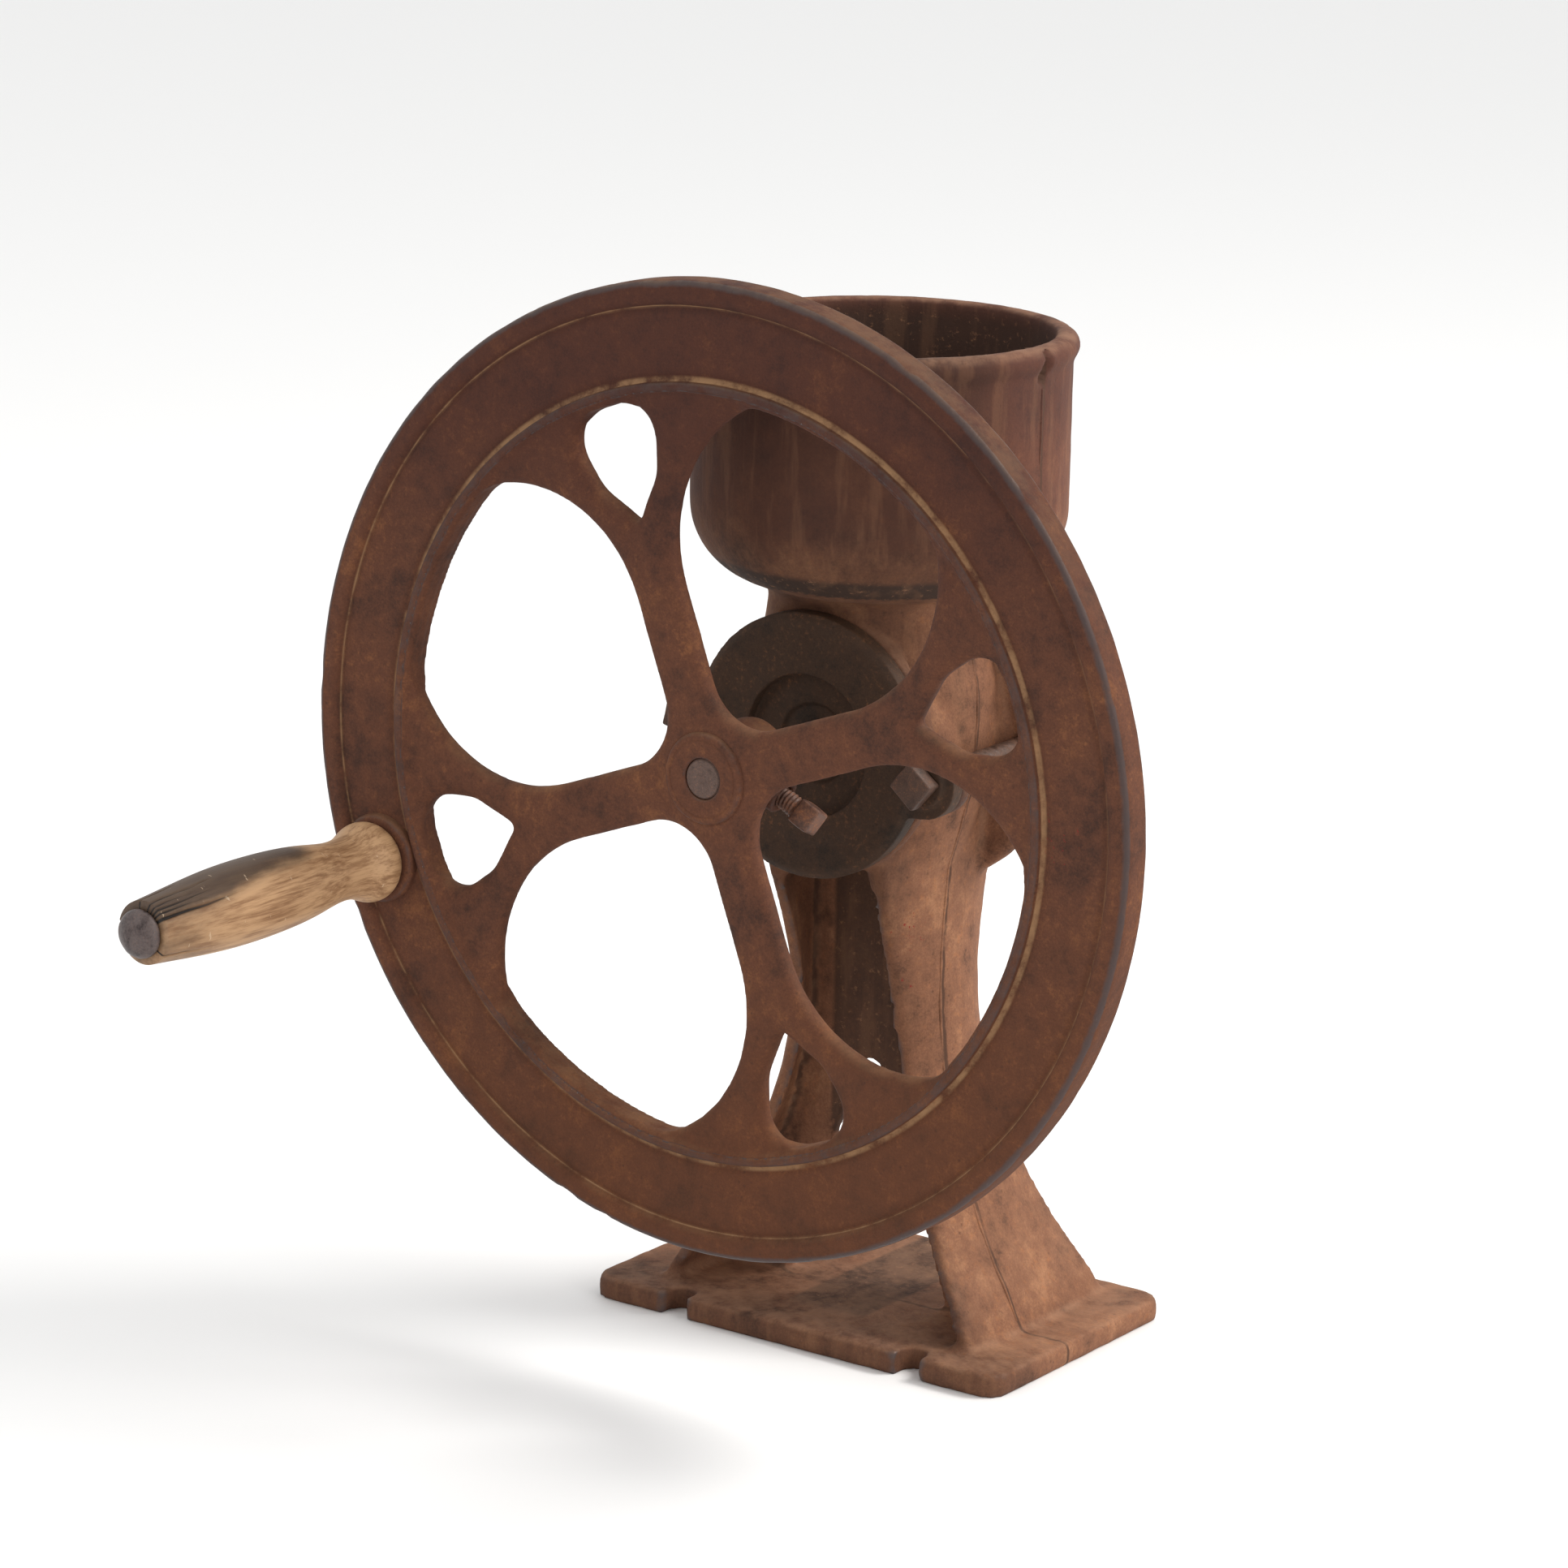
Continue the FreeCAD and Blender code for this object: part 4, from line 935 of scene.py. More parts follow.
@dataclass
class Stand:
    """The frame casting with its parting seam."""

    faces: int = 92000
    smoothing: int = 3
    seam_proud: float = 0.0006
    seam_top: float = 497 * MM
    seam_foot: float = 17 * MM
    seam_step: float = 3 * MM
    gash_depth: float = 5.0 * MM
    gash_half: float = 3.4 * MM
    gash_drop: float = 9.5 * MM
    gash_rise: float = 8.5 * MM
    mouth: float = 85 * MM
    chute_half: float = 22 * MM

    def build(self) -> None:
        """Builds the casting and its seams."""
        skin = cast_skin(merged_copy("frame_casting"), self.faces, self.smoothing, "mill_casting")
        Roughness().apply(skin)
        self.tear_bead(skin)
        self.mark_inside(skin)
        for vertex in skin.vertices:
            vertex.co.z = max(vertex.co.z, 0.0)
        mark_edges(skin)
        iron = BODY_RUST_AND_SHADE.build()
        stand = piece("mill_casting", skin, iron, "frame", ("frame_casting",))
        tree = BVHTree.FromObject(stand, bpy.context.evaluated_depsgraph_get())
        for side, name in ((1, "seam_right"), (-1, "seam_left")):
            piece(name, self.seam(tree, side, name), iron, "frame")

    def tear_bead(self, skin: bpy.types.Mesh) -> None:
        """Tears the hopper's bead open where the right seam crosses it.

        Args:
            skin: the casting's mesh, changed in place.
        """
        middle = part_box("frame_casting")[1].z - self.gash_drop
        reach = max(vertex.co.x for vertex in skin.vertices if vertex.co.z > middle - 0.01)
        for vertex in skin.vertices:
            if vertex.co.x < reach - 0.014:
                continue
            rise = (vertex.co.z - middle) / self.gash_rise
            slant = SEAM_Y + rise * 0.0016
            width = self.gash_half * math.sqrt(max(0.0, 1 - rise * rise))
            share = max(0.0, 1 - abs(vertex.co.y - slant) / max(width, 1e-6))
            ragged = 0.8 + 0.5 * noise.noise(vertex.co / 0.004)
            vertex.co.x -= self.gash_depth * min(1.0, share * 1.6) * ragged

    def mark_inside(self, skin: bpy.types.Mesh) -> None:
        """Stores which points lie inside the hopper or in the chute, where painted shade goes, as an
        attribute from 0 to 1.

        Args:
            skin: the casting's mesh.
        """
        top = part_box("frame_casting")[1].z
        inside = np.zeros(len(skin.vertices), np.float32)
        for k, vertex in enumerate(skin.vertices):
            place = vertex.co
            radius = math.hypot(place.x, place.y - SEAM_Y)
            if place.z > SHAFT_Z + 0.08:
                inside[k] = min(1.0, max(0.0, (self.mouth + 0.0015 - radius) / 0.002))
                inside[k] *= min(1.0, max(0.0, (top - place.z) / 0.01))
            elif place.z < SHAFT_Z - 0.06 and abs(place.x) < self.chute_half:
                inside[k] = min(1.0, max(0.0, (place.y + 0.052) / 0.01)) * 0.75
        attribute = skin.attributes.new("inside", "FLOAT", "POINT")
        attribute.data.foreach_set("value", inside)

    def seam(self, tree: BVHTree, side: int, name: str) -> bpy.types.Mesh:
        """Thin flash left where the mould halves met.

        Args:
            tree: the casting's surface.
            side: 1 on the right and -1 on the left.
            name: the mesh's name.

        Returns:
            The seam's mesh.
        """
        line = bpy.data.curves.new(name, "CURVE")
        line.dimensions = "3D"
        line.bevel_depth = self.seam_proud * 1.7
        line.bevel_resolution = 2
        line.use_fill_caps = True
        points = []
        height = self.seam_foot
        while height < self.seam_top:
            hit = tree.ray_cast(Vector((side * 0.5, SEAM_Y, height)), Vector((-side, 0, 0)))[0]
            sway = noise.noise(Vector((side, 0, height / 0.012)))
            rise = noise.noise(Vector((side, 5, height / 0.02))) * 0.0006
            points.append(Vector((hit.x - side * (self.seam_proud - rise), SEAM_Y + sway * 0.0005, height)))
            height += self.seam_step
        spline = line.splines.new("POLY")
        spline.points.add(len(points) - 1)
        for point, place in zip(spline.points, points):
            point.co = (*place, 1)
            point.radius = 1 + 0.35 * noise.noise(place / 0.01)
        carrier = bpy.data.objects.new(name, line)
        bpy.context.scene.collection.objects.link(carrier)
        return resolved(carrier, name)


@dataclass
class Wheel:
    """The flywheel: a turned rim round cast spokes and hub."""

    rim_width: float = 56 * MM
    rim_thickness: float = 18 * MM
    web_half: float = 6 * MM
    steps: int = 420
    spoke_faces: int = 88000
    spoke_smoothing: int = 6
    oval_half: float = 12 * MM
    edge_share: float = 0.30
    hub_radius: float = 22.8 * MM
    seat_radius: float = 22.6 * MM
    nick_depth: float = 0.9 * MM
    hub_proud: float = 10 * MM
    high: Vector = field(default_factory=lambda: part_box("flywheel")[1])
    middle: float = field(default_factory=lambda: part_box("flywheel")[1].y - 35 * MM)

    @property
    def radius(self) -> float:
        """Outer radius."""
        return self.high.x

    @property
    def low_hub(self) -> float:
        """Y of the hub's front face."""
        return self.middle - self.hub_proud

    def section(self) -> list[tuple[float, float]]:
        """Section of the rim as (radius, y), from the inner edge at the back round the front."""
        outer, inner = self.radius - 0.0003, self.radius - self.rim_width
        front, back = self.middle - self.rim_thickness / 2, self.middle + self.rim_thickness / 2 - 0.0002
        web = self.middle - self.web_half
        points = [(inner + 3 * MM, self.middle + self.web_half + 0.6 * MM),
                  (inner + 0.2 * MM, self.middle + 4 * MM), (inner - 0.4 * MM, self.middle),
                  (inner + 0.2 * MM, web + 1 * MM), (inner + 1.0 * MM, web - 0.6 * MM),
                  (inner + 2.2 * MM, front + 2.6 * MM)]
        points += arc((inner + 4.7 * MM, front + 2.2 * MM), 2.5 * MM, 190, 330, 9)
        points += [(inner + 7.2 * MM, front + 3.0 * MM), (inner + 8.2 * MM, front + 3.9 * MM),
                   (inner + 9.6 * MM, front + 3.7 * MM), (inner + 12 * MM, front + 3.0 * MM),
                   (outer - 15 * MM, front + 2.8 * MM), (outer - 13.6 * MM, front + 3.6 * MM),
                   (outer - 12.6 * MM, front + 3.4 * MM)]
        points += arc((outer - 7.6 * MM, front + 5.2 * MM), 5.1 * MM, 200, 285, 8)
        points += [(outer - 3.0 * MM, front + 0.5 * MM), (outer - 1.4 * MM, front + 1.1 * MM),
                   (outer - 0.4 * MM, front + 2.4 * MM), (outer - 0.1 * MM, front + 4.2 * MM),
                   (outer, self.middle - 2 * MM), (outer - 0.1 * MM, back - 4 * MM)]
        points += arc((outer - 2.6 * MM, back - 2.6 * MM), 2.6 * MM, 8, 84, 4)
        points += [(inner + 8 * MM, back), (inner + 4.5 * MM, back - 1.2 * MM)]
        return points

    def rim(self) -> bpy.types.Mesh:
        """Turned rim with nicks along its front edge."""
        shape = turned(finer(self.section(), 1.8 * MM), SHAFT_AXIS, self.steps)
        mesh = mesh_from(shape, "wheel_rim")
        Roughness(lump_height=0.00016, pit_depth=0.0002).apply(mesh)
        front = self.middle - self.rim_thickness / 2
        for vertex in mesh.vertices:
            arm = Vector((vertex.co.x, 0, vertex.co.z - SHAFT_Z))
            near = max(0.0, 1 - abs(arm.length - self.radius + 0.003) / 0.006)
            near *= max(0.0, 1 - abs(vertex.co.y - front - 0.002) / 0.006)
            nick = max(0.0, noise.noise(vertex.co / 0.013 + Vector((2, 9, 4))) - 0.28)
            vertex.co -= arm.normalized() * nick * near * self.nick_depth * 4
        mark_edges(mesh, spread=2, gain=5.0)
        return mesh

    def spokes(self) -> bpy.types.Mesh:
        """Spokes and hub, cut free of the rim inside it."""
        carrier = bpy.data.objects.new("spokes", merged_copy("flywheel"))
        bpy.context.scene.collection.objects.link(carrier)
        disc = bmesh.new()
        reach = self.radius - self.rim_width + 3.5 * MM
        bmesh.ops.create_cone(disc, cap_ends=True, segments=256, radius1=reach, radius2=reach, depth=0.2)
        bmesh.ops.transform(disc, matrix=Matrix.Translation((0, self.middle, SHAFT_Z))
                            @ Matrix.Rotation(math.pi / 2, 4, "X"), verts=disc.verts)
        knife = bpy.data.objects.new("knife", mesh_from(disc, "knife"))
        bpy.context.scene.collection.objects.link(knife)
        cut = carrier.modifiers.new("cut", "BOOLEAN")
        cut.operation = "INTERSECT"
        cut.object = knife
        solid = resolved(carrier, "spokes_solid")
        bpy.data.objects.remove(knife)
        skin = cast_skin(solid, self.spoke_faces, 2, "wheel_spokes")
        self.make_oval(skin)
        skin = relaxed(skin, self.spoke_smoothing)
        Roughness(lump_height=0.0002, pit_depth=0.00025).apply(skin)
        mark_edges(skin, spread=4, gain=3.5)
        return skin

    def make_oval(self, skin: bpy.types.Mesh) -> None:
        """Thins the flat web towards its edges, so that every spoke is an oval bar.

        Args:
            skin: the web's mesh, changed in place.
        """
        hub = self.hub_radius + 1 * MM
        flat = self.radius - self.rim_width - 4 * MM
        walls = []
        for vertex in skin.vertices:
            arm = math.hypot(vertex.co.x, vertex.co.z - SHAFT_Z)
            if abs(vertex.normal.y) < 0.35 and hub < arm < flat and abs(vertex.co.y - self.middle) < 5 * MM:
                walls.append(vertex.co.copy())
        tree = KDTree(len(walls))
        for k, place in enumerate(walls):
            tree.insert((place.x, 0, place.z), k)
        tree.balance()
        for vertex in skin.vertices:
            arm = math.hypot(vertex.co.x, vertex.co.z - SHAFT_Z)
            if arm < self.hub_radius + 1 * MM and vertex.co.y < self.middle:
                vertex.co.y = max(vertex.co.y, self.low_hub + 3 * MM)
            depth = abs(vertex.co.y - self.middle)
            if depth > self.web_half + 3 * MM:
                continue
            away = tree.find((vertex.co.x, 0, vertex.co.z))[2]
            share = min(1.0, away / self.oval_half)
            oval = self.edge_share + (1.12 - self.edge_share) * math.sqrt(1 - (1 - share) ** 2)
            fade = min(1.0, max(0.0, (arm - hub) / (8 * MM)))
            fade *= min(1.0, (self.web_half + 3 * MM - depth) / (3 * MM))
            vertex.co.y = self.middle + (vertex.co.y - self.middle) * (1 + (oval - 1) * fade)

    def hub(self) -> bpy.types.Mesh:
        """Turned hub with the ring edge round its front face."""
        r, front, back = self.hub_radius + 0.1 * MM, self.low_hub, self.high.y
        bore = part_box("main_shaft")[1].x + 0.25 * MM
        points = [(bore, front + 12 * MM), (bore, front + 1.0 * MM), (bore + 0.8 * MM, front + 0.3 * MM),
                  (r - 4.6 * MM, front + 0.1 * MM), (r - 4.0 * MM, front + 0.7 * MM),
                  (r - 3.4 * MM, front + 0.3 * MM),
                  (r - 2.0 * MM, front + 0.4 * MM), (r - 0.7 * MM, front + 1.2 * MM), (r, front + 2.8 * MM),
                  (r, back - 2 * MM), (r - 1.6 * MM, back - 0.3 * MM), (bore, back - 0.2 * MM)]
        mesh = mesh_from(turned(finer(points, 0.9 * MM), SHAFT_AXIS, 160), "wheel_hub")
        Roughness(lump=0.009, lump_height=0.00025, pit_depth=0.0003).apply(mesh)
        mark_edges(mesh, spread=2, gain=4.0)
        return mesh

    def seat(self) -> bpy.types.Mesh:
        """Round seat under the handle."""
        low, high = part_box("crank_handle")
        centre = Vector(((low.x + high.x) / 2, 0, (low.z + high.z) / 2))
        top, r = high.y + 0.2 * MM, self.seat_radius
        points = [(6 * MM, self.middle), (6 * MM, top), (r - 2.5 * MM, top), (r - 0.8 * MM, top + 0.8 * MM),
                  (r, top + 2.4 * MM), (r + 0.6 * MM, self.middle)]
        mesh = mesh_from(turned(finer(points, 1.0 * MM), centre, 120), "handle_seat")
        Roughness(lump=0.008, lump_height=0.00025).apply(mesh)
        mark_edges(mesh, spread=2, gain=4.0)
        return mesh

    def build(self) -> None:
        """Builds rim and spokes."""
        iron = WHEEL_RUST_AND_SHADE.build()
        piece("wheel_rim", self.rim(), iron, "rotor")
        piece("wheel_spokes", self.spokes(), iron, "rotor", ("flywheel",))
        piece("wheel_hub", self.hub(), iron, "rotor")
        piece("handle_seat", self.seat(), iron, "rotor")


@dataclass
class Dish:
    """The dished front plate."""

    faces: int = 70000
    smoothing: int = 4

    def build(self) -> None:
        """Builds the plate."""
        skin = cast_skin(merged_copy("front_plate"), self.faces, self.smoothing, "front_dish")
        Roughness(lump_height=0.00018, pit_depth=0.0002).apply(skin)
        mark_edges(skin, spread=4, gain=3.0)
        piece("front_dish", skin, DISH_RUST_AND_SHADOW.build(), "frame", ("front_plate",))


@dataclass
class Grip:
    """The wooden crank handle and its domed spindle."""

    steps: int = 220
    row: float = 0.8 * MM
    bore: float = 5.6 * MM
    head_radius: float = 12.3 * MM
    spindle_radius: float = 5.5 * MM
    cracks: tuple[tuple[float, float, float], ...] = (
        (36.0, 0.062, 0.0016), (47.0, 0.034, 0.0008), (55.0, 0.042, 0.0009), (63.0, 0.030, 0.0007),
        (74.0, 0.046, 0.0008), (98.0, 0.030, 0.0007), (-38.0, 0.036, 0.0008), (170.0, 0.050, 0.0010),
        (232.0, 0.028, 0.0008))

    def build(self) -> None:
        """Builds the grip and the spindle."""
        low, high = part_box("crank_handle")
        centre = Vector(((low.x + high.x) / 2, 0, (low.z + high.z) / 2))
        wood = HandleWood().build(centre, low.y, high.y)
        piece("grip_wood", self.wood(centre, low.y, high.y), wood, "crank_handle",
              ("crank_handle",))
        piece("grip_spindle", self.spindle(centre), RIVET_STEEL.build(), "rotor",
              ("handle_spindle",))

    def wood(self, centre: Vector, tip: float, root: float) -> bpy.types.Mesh:
        """The turned grip, slightly out of round, split by drying cracks.

        Args:
            centre: a point on its axis.
            tip: Y of the free end.
            root: Y of the end at the wheel.

        Returns:
            The mesh.
        """
        graph = bpy.context.evaluated_depsgraph_get()
        turning = BVHTree.FromObject(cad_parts["crank_handle"], graph)
        rows = round((root - tip) / self.row)
        side = []
        for k in range(1, rows):
            y = tip + (root - tip) * k / rows
            hit = turning.ray_cast(Vector((centre.x + 0.5, y, centre.z)), Vector((-1, 0, 0)))[0]
            side.append((hit.x - centre.x - 0.0003, y))
        tip_face = [(self.bore, tip + 0.0001), (side[0][0] - 0.0022, tip + 0.0001)]
        root_face = [(side[-1][0] - 0.0025, root - 0.0001), (self.bore, root - 0.0001)]
        section = finer([(self.bore, root - 0.0005), (self.bore, tip + 0.0005)], 0.02)
        section += finer(tip_face, 0.001) + side + finer(root_face, 0.002)
        mesh = mesh_from(turned(section, centre, self.steps), "grip_wood")
        cracked = np.zeros(len(mesh.vertices), np.float32)
        for k, vertex in enumerate(mesh.vertices):
            arm = Vector((vertex.co.x - centre.x, 0, vertex.co.z - centre.z))
            if arm.length < self.bore + 0.0015:
                continue
            cracked[k] = self.crack_at(math.degrees(math.atan2(arm.z, arm.x)), vertex.co.y - tip, arm.length)
            worn = noise.noise(Vector((arm.x * 45, vertex.co.y * 11, arm.z * 45))) * 0.0005
            vertex.co += arm.normalized() * (min(worn, 0.0002) - cracked[k] * 0.0018)
        attribute = mesh.attributes.new("crack", "FLOAT", "POINT")
        attribute.data.foreach_set("value", cracked)
        return mesh

    def crack_at(self, angle: float, along: float, radius: float) -> float:
        """How deep the wood is split at a place, from 0 to 1.

        Args:
            angle: degrees round the axis.
            along: distance from the tip.
            radius: distance from the axis.

        Returns:
            The depth.
        """
        deepest = 0.0
        for bearing, length, width in self.cracks:
            wander = noise.noise(Vector((bearing, along / 0.02, 0))) * 2.5
            away = abs((angle - bearing - wander + 180) % 360 - 180)
            across = math.radians(away) * radius
            taper = max(0.0, 1 - along / length) ** 0.5
            deepest = max(deepest, taper * max(0.0, 1 - across / max(width * taper, 1e-5)))
        return deepest

    def spindle(self, centre: Vector) -> bpy.types.Mesh:
        """Domed head, stem and threaded end of the spindle."""
        low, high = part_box("handle_spindle")
        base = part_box("crank_handle")[0].y - 0.0004
        dome = base - 0.0012 - low.y
        turns = [math.radians(angle) for angle in range(90, -1, -9)]
        points = [(self.head_radius * math.cos(turn), base - 0.0012 - dome * math.sin(turn))
                  for turn in turns]
        points[0] = (0.0, low.y)
        points += [(self.head_radius - 0.0006, base), (self.spindle_radius, base),
                   (self.spindle_radius, high.y - 0.001), (self.spindle_radius - 0.001, high.y),
                   (0.0, high.y)]
        shape = turned(finer(points, 0.0013), centre, 64)
        Thread(high.y - 0.016, high.y - 0.001, 0.0018, 0.0007).cut(shape, centre, self.spindle_radius)
        mesh = mesh_from(shape, "grip_spindle")
        Roughness(lump=0.006, lump_height=0.0002, pit=0.003, pit_depth=0.0003).apply(mesh)
        mark_edges(mesh)
        return mesh


@dataclass
class Fastener:
    """A headed bolt along Y with a thread at its end."""

    node: str
    shape: Shape
    across: float
    turn: float
    head_low: float
    head_high: float
    stem_radius: float
    stem_low: float
    stem_high: float
    thread: Thread

    def mesh(self, name: str) -> bpy.types.Mesh:
        """The bolt's mesh.

        Args:
            name: its name.

        Returns:
            The mesh.
        """
        centre = centre_of(self.node)
        head = prism(self.shape, self.across, self.head_low, self.head_high, centre, self.turn, 0.0013)
        r = self.stem_radius
        points = [(0.0, self.stem_low), (r - 0.0012, self.stem_low), (r, self.stem_low + 0.0012),
                  (r, self.stem_high - 0.0012), (r - 0.0012, self.stem_high), (0.0, self.stem_high)]
        stem = turned(finer(points, 0.0005), centre, 48)
        self.thread.cut(stem, centre, r)
        mesh = joined([head, stem], name)
        Roughness(lump=0.005, lump_height=0.0003, pit=0.0025, pit_depth=0.0004).apply(mesh)
        mark_edges(mesh, spread=2)
        return mesh


def bored_nut(node: str, sides: Shape, across: float, turn: float, bore: float, name: str) -> bpy.types.Mesh:
    """A nut or washer blank with its hole.

    Args:
        node: the CAD node it stands for.
        sides: its shape.
        across: its size across flats.
        turn: its turn about the axis.
        bore: the hole's radius.
        name: the mesh's name.

    Returns:
        The mesh.
    """
    low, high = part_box(node)
    centre = (low + high) / 2
    blank = prism(sides, across, low.y, high.y, centre, turn, 0.0011)
    carrier = bpy.data.objects.new(name, mesh_from(blank, name))
    bpy.context.scene.collection.objects.link(carrier)
    drill = bmesh.new()
    bmesh.ops.create_cone(drill, cap_ends=True, segments=48, radius1=bore, radius2=bore, depth=0.1)
    bmesh.ops.transform(drill, matrix=Matrix.Translation(centre) @ Matrix.Rotation(math.pi / 2, 4, "X"),
                        verts=drill.verts)
    tool = bpy.data.objects.new("drill", mesh_from(drill, "drill"))
    bpy.context.scene.collection.objects.link(tool)
    cut = carrier.modifiers.new("hole", "BOOLEAN")
    cut.object = tool
    mesh = resolved(carrier, name)
    bpy.data.objects.remove(tool)
    mark_edges(mesh, spread=2)
    return mesh


@dataclass
class Ironmongery:
    """Every bolt, nut and screw that shows."""

    bolt_across: float = 17.3 * MM
    bolt_radius: float = 6.3 * MM
    head_depth: float = 9.5 * MM
    screw_radius: float = 9.5 * MM
    set_radius: float = 5.5 * MM

    def build(self) -> None:
        """Builds them all."""
        rust = FASTENER_RUST.build()
        for side, turn in (("right", 40.0), ("left", 12.0)):
            node = "tie_bolt_" + side
            low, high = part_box(node)
            bolt = Fastener(node, Shape.SQUARE, self.bolt_across, turn + 45, low.y, low.y + self.head_depth,
                            self.bolt_radius, low.y + self.head_depth - 0.001, high.y,
                            Thread(high.y - 0.03, high.y - 0.0005, 0.002, 0.0008))
            piece(node + "_iron", bolt.mesh(node + "_iron"), rust, "frame", (node,))
            nut = "tie_nut_" + side
            mesh = bored_nut(nut, Shape.SQUARE, self.bolt_across + 2 * MM, turn + 65, self.bolt_radius,
                             nut + "_iron")
            piece(nut + "_iron", mesh, rust, "frame", (nut,))
        low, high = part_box("regulating_screw")
        screw = Fastener("regulating_screw", Shape.SQUARE, 16.8 * MM, 0.0, high.y - 0.014, high.y,
                         self.screw_radius, low.y, high.y - 0.0135,
                         Thread(low.y + 0.006, high.y - 0.016, 0.002, 0.0009))
        piece("regulating_screw_iron", screw.mesh("regulating_screw_iron"), rust, "regulating_screw",
              ("regulating_screw",))
        mesh = bored_nut("lock_nut", Shape.HEXAGON, 27.8 * MM, 0.0, self.screw_radius, "lock_nut_iron")
        piece("lock_nut_iron", mesh, rust, "frame", ("lock_nut",))
        mesh = bored_nut("spindle_nut", Shape.SQUARE, 16.9 * MM, 75.0, 5.5 * MM, "spindle_nut_iron")
        piece("spindle_nut_iron", mesh, rust, "rotor", ("spindle_nut",))
        piece("hub_screw_iron", self.set_screw(), RED_RUST_SCREW.build(), "rotor",
              ("hub_set_screw",))

    def set_screw(self) -> bpy.types.Mesh:
        """Square-headed hub screw, made upright along Y and swung into its place."""
        low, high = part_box("hub_set_screw")
        y = (low.y + high.y) / 2
        start, length, head = 10 * MM, 27 * MM, 12 * MM
        cube = prism(Shape.SQUARE, 12.8 * MM, length + start, length + start + head, Vector(), 20.0, 0.0014)
        r = self.set_radius
        side = [(0.0, start), (r - 0.001, start), (r, start + 0.001), (r, start + length + 0.001),
                (0.0, start + length + 0.001)]
        stem = turned(finer(side, 0.0005), Vector(), 48)
        Thread(start, start + length, 0.0021, 0.0009).cut(stem, Vector(), r)
        mesh = joined([cube, stem], "hub_screw_iron")
        angle = math.atan2((low.z + high.z) / 2 - SHAFT_Z, (low.x + high.x) / 2)
        mesh.transform(Matrix.Translation((0, y, SHAFT_Z)) @ Matrix.Rotation(-angle, 4, "Y")
                       @ Matrix.Rotation(-math.pi / 2, 4, "Z"))
        Roughness(lump=0.004, lump_height=0.0003, pit=0.0022, pit_depth=0.0004).apply(mesh)
        mark_edges(mesh, spread=2)
        return mesh


@dataclass
class Works:
    """CAD nodes that stay as they are and only get a finish."""

    finishes: dict[str, CastIron | RustedSteel] = field(default_factory=lambda: {
        "main_shaft": SHAFT_STEEL, "drive_key": SHAFT_STEEL, "thrust_button": SHAFT_STEEL,
        "spindle_washer": FASTENER_RUST, "fixed_burr_screws": FASTENER_RUST,
        "feed_worm": PLATE_IRON, "fixed_burr": PLATE_IRON, "running_burr": PLATE_IRON})

    def build(self) -> None:
        """Gives each node its material."""
        made: dict[str, bpy.types.Material] = {}
        for node, finish in self.finishes.items():
            material = made.get(finish.name) or finish.build()
            made[finish.name] = material
            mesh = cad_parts[node].data
            mesh.materials.clear()
            mesh.materials.append(material)
            LOG.info("%s: CAD node finished in %s", node, finish.name)


# ---------------------------------------------------------------- studio


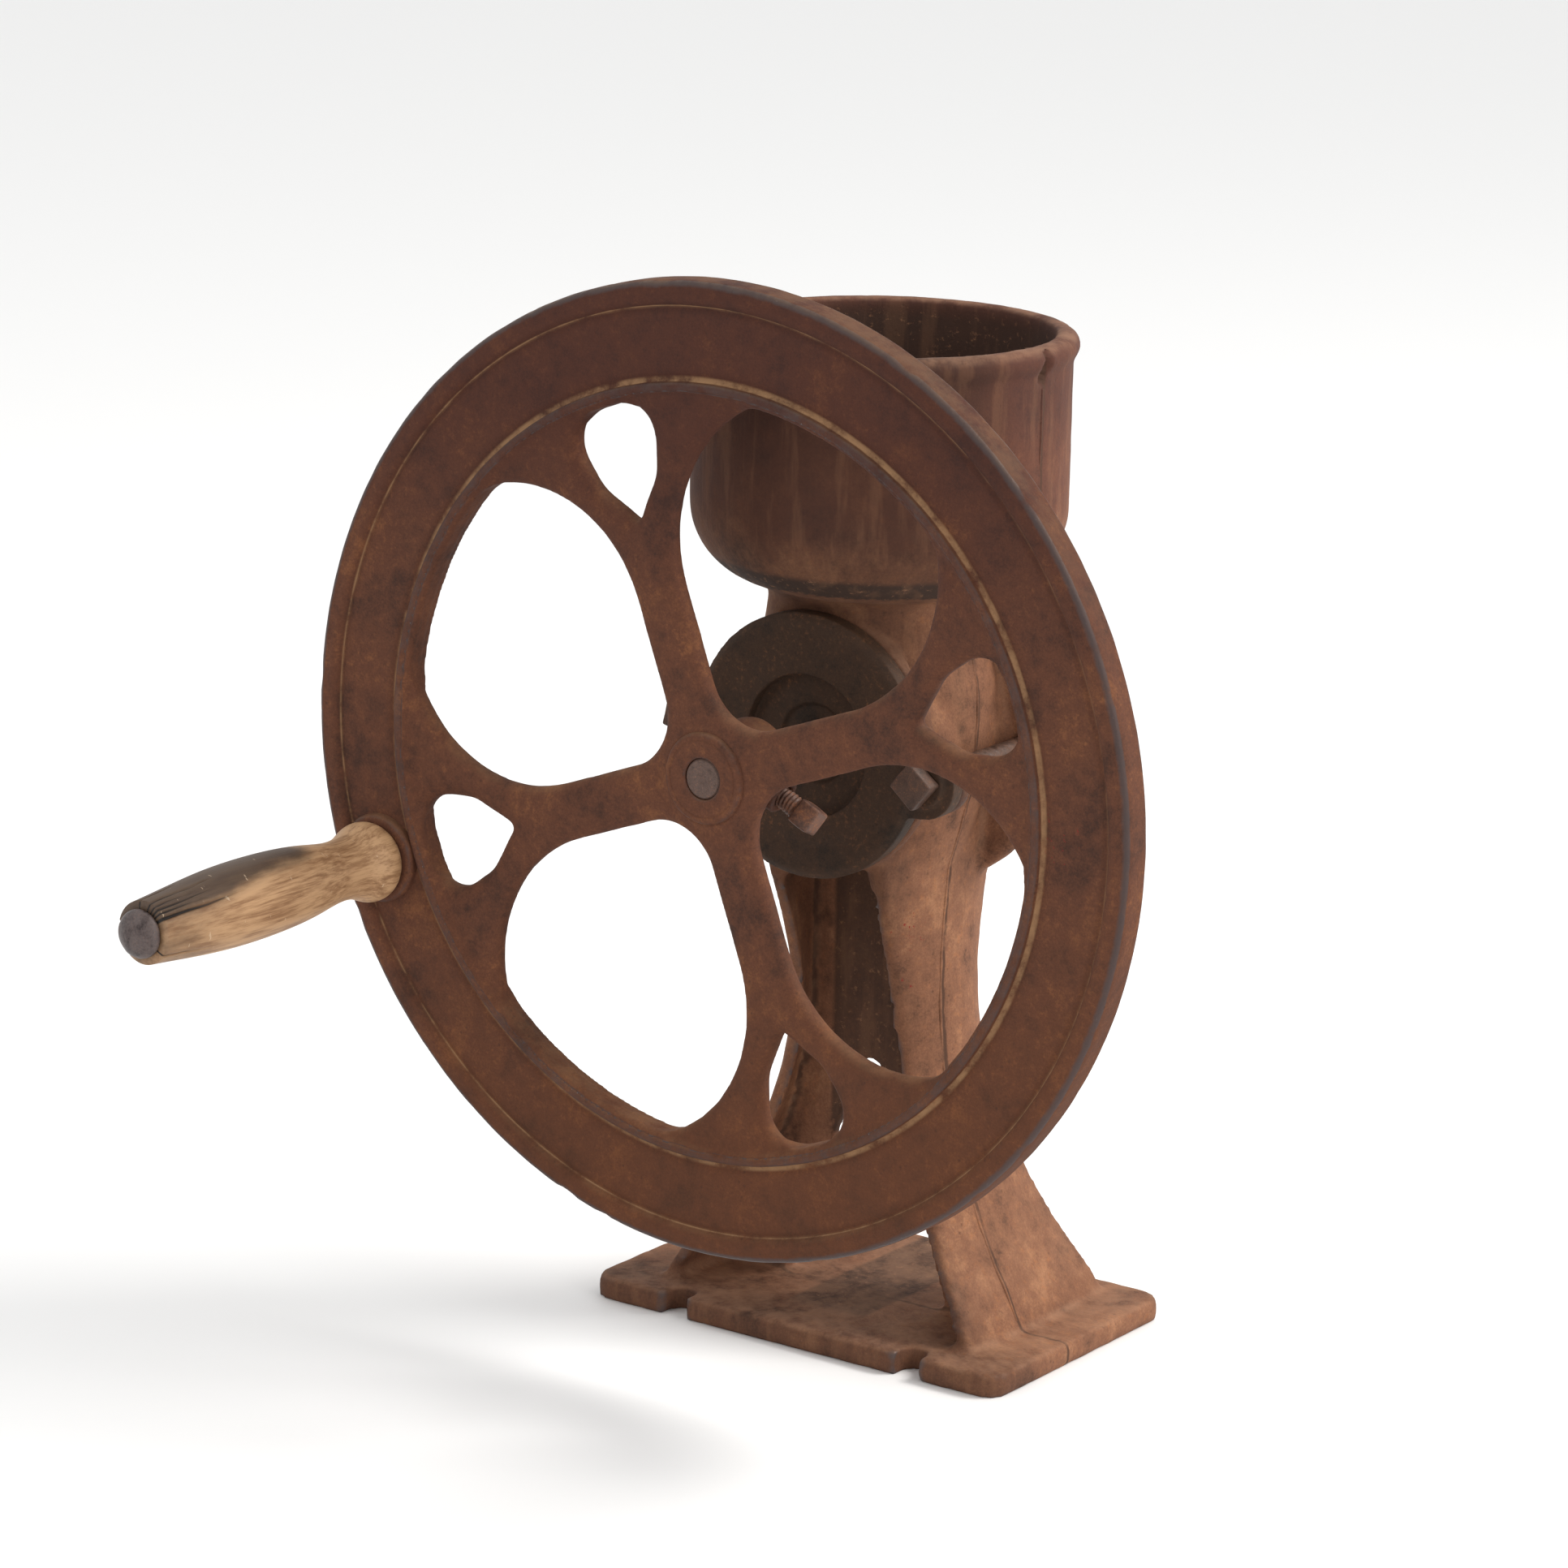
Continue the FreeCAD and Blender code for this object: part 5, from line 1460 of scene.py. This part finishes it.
@dataclass
class Studio:
    """Pale floor, soft lights and camera."""

    azimuth: float = 35.256
    pitch: float = 14.466
    roll: float = 1.104
    lens: float = 130.25
    sensor: float = 36.0
    place: Colour = (1.555365, -2.292392, 0.991795)

    def build(self) -> None:
        """Builds the studio."""
        self.camera()
        self.floor()
        self.lights()

    def camera(self) -> None:
        """Places the camera."""
        data = bpy.data.cameras.new("camera")
        data.lens = self.lens
        data.sensor_width = self.sensor
        data.clip_end = 50
        camera = bpy.data.objects.new("camera", data)
        bpy.context.scene.collection.objects.link(camera)
        turn = (Matrix.Rotation(math.radians(self.azimuth), 4, "Z")
                @ Matrix.Rotation(math.radians(90 - self.pitch), 4, "X")
                @ Matrix.Rotation(math.radians(self.roll), 4, "Z"))
        camera.matrix_world = Matrix.Translation(self.place) @ turn
        bpy.context.scene.camera = camera

    def floor(self) -> None:
        """Plain pale floor."""
        shape = bmesh.new()
        bmesh.ops.create_circle(shape, cap_ends=True, segments=96, radius=14.0)
        mesh = mesh_from(shape, "floor")
        floor = bpy.data.objects.new("floor", mesh)
        bpy.context.scene.collection.objects.link(floor)
        material, _, shader = new_material("studio_floor")
        shader.inputs["Base Color"].default_value = (0.86, 0.86, 0.86, 1)
        shader.inputs["Roughness"].default_value = 0.55
        mesh.materials.append(material)

    def lights(self) -> None:
        """Soft key from behind on the right, broad fill from the front, and an even white room."""
        world = bpy.data.worlds.new("room")
        world.use_nodes = True
        world.node_tree.nodes["Background"].inputs["Color"].default_value = (1.0, 1.0, 0.995, 1)
        world.node_tree.nodes["Background"].inputs["Strength"].default_value = 0.96
        bpy.context.scene.world = world
        self.area("key", (1.7, 1.3, 2.5), 1.1, 78, (1.0, 0.97, 0.93))
        self.area("side", (2.6, -0.7, 1.3), 1.2, 16, (1.0, 0.98, 0.95))
        self.area("front", (-1.4, -2.4, 1.9), 1.6, 9, (0.95, 0.97, 1.0))
        bpy.context.scene.view_settings.view_transform = "Standard"

    def area(self, name: str, place: Colour, size: float, power: float, colour: Colour) -> None:
        """Adds a square area light aimed at the mill.

        Args:
            name: its name.
            place: where it hangs.
            size: its side.
            power: watts.
            colour: its colour.
        """
        data = bpy.data.lights.new(name, "AREA")
        data.size, data.energy, data.color = size, power, colour
        light = bpy.data.objects.new(name, data)
        bpy.context.scene.collection.objects.link(light)
        aim = Vector((0, -0.08, 0.26)) - Vector(place)
        light.rotation_mode = "QUATERNION"
        light.rotation_quaternion = aim.to_track_quat("-Z", "Y")
        light.location = place


def main() -> None:
    """Builds every sub-assembly in order."""
    logging.basicConfig(level=logging.INFO, format="%(name)s: %(message)s")
    for assembly in (Stand(), Dish(), Wheel(), Grip(), Ironmongery(), Works(), Studio()):
        assembly.build()


if __name__ == "__main__":
    main()
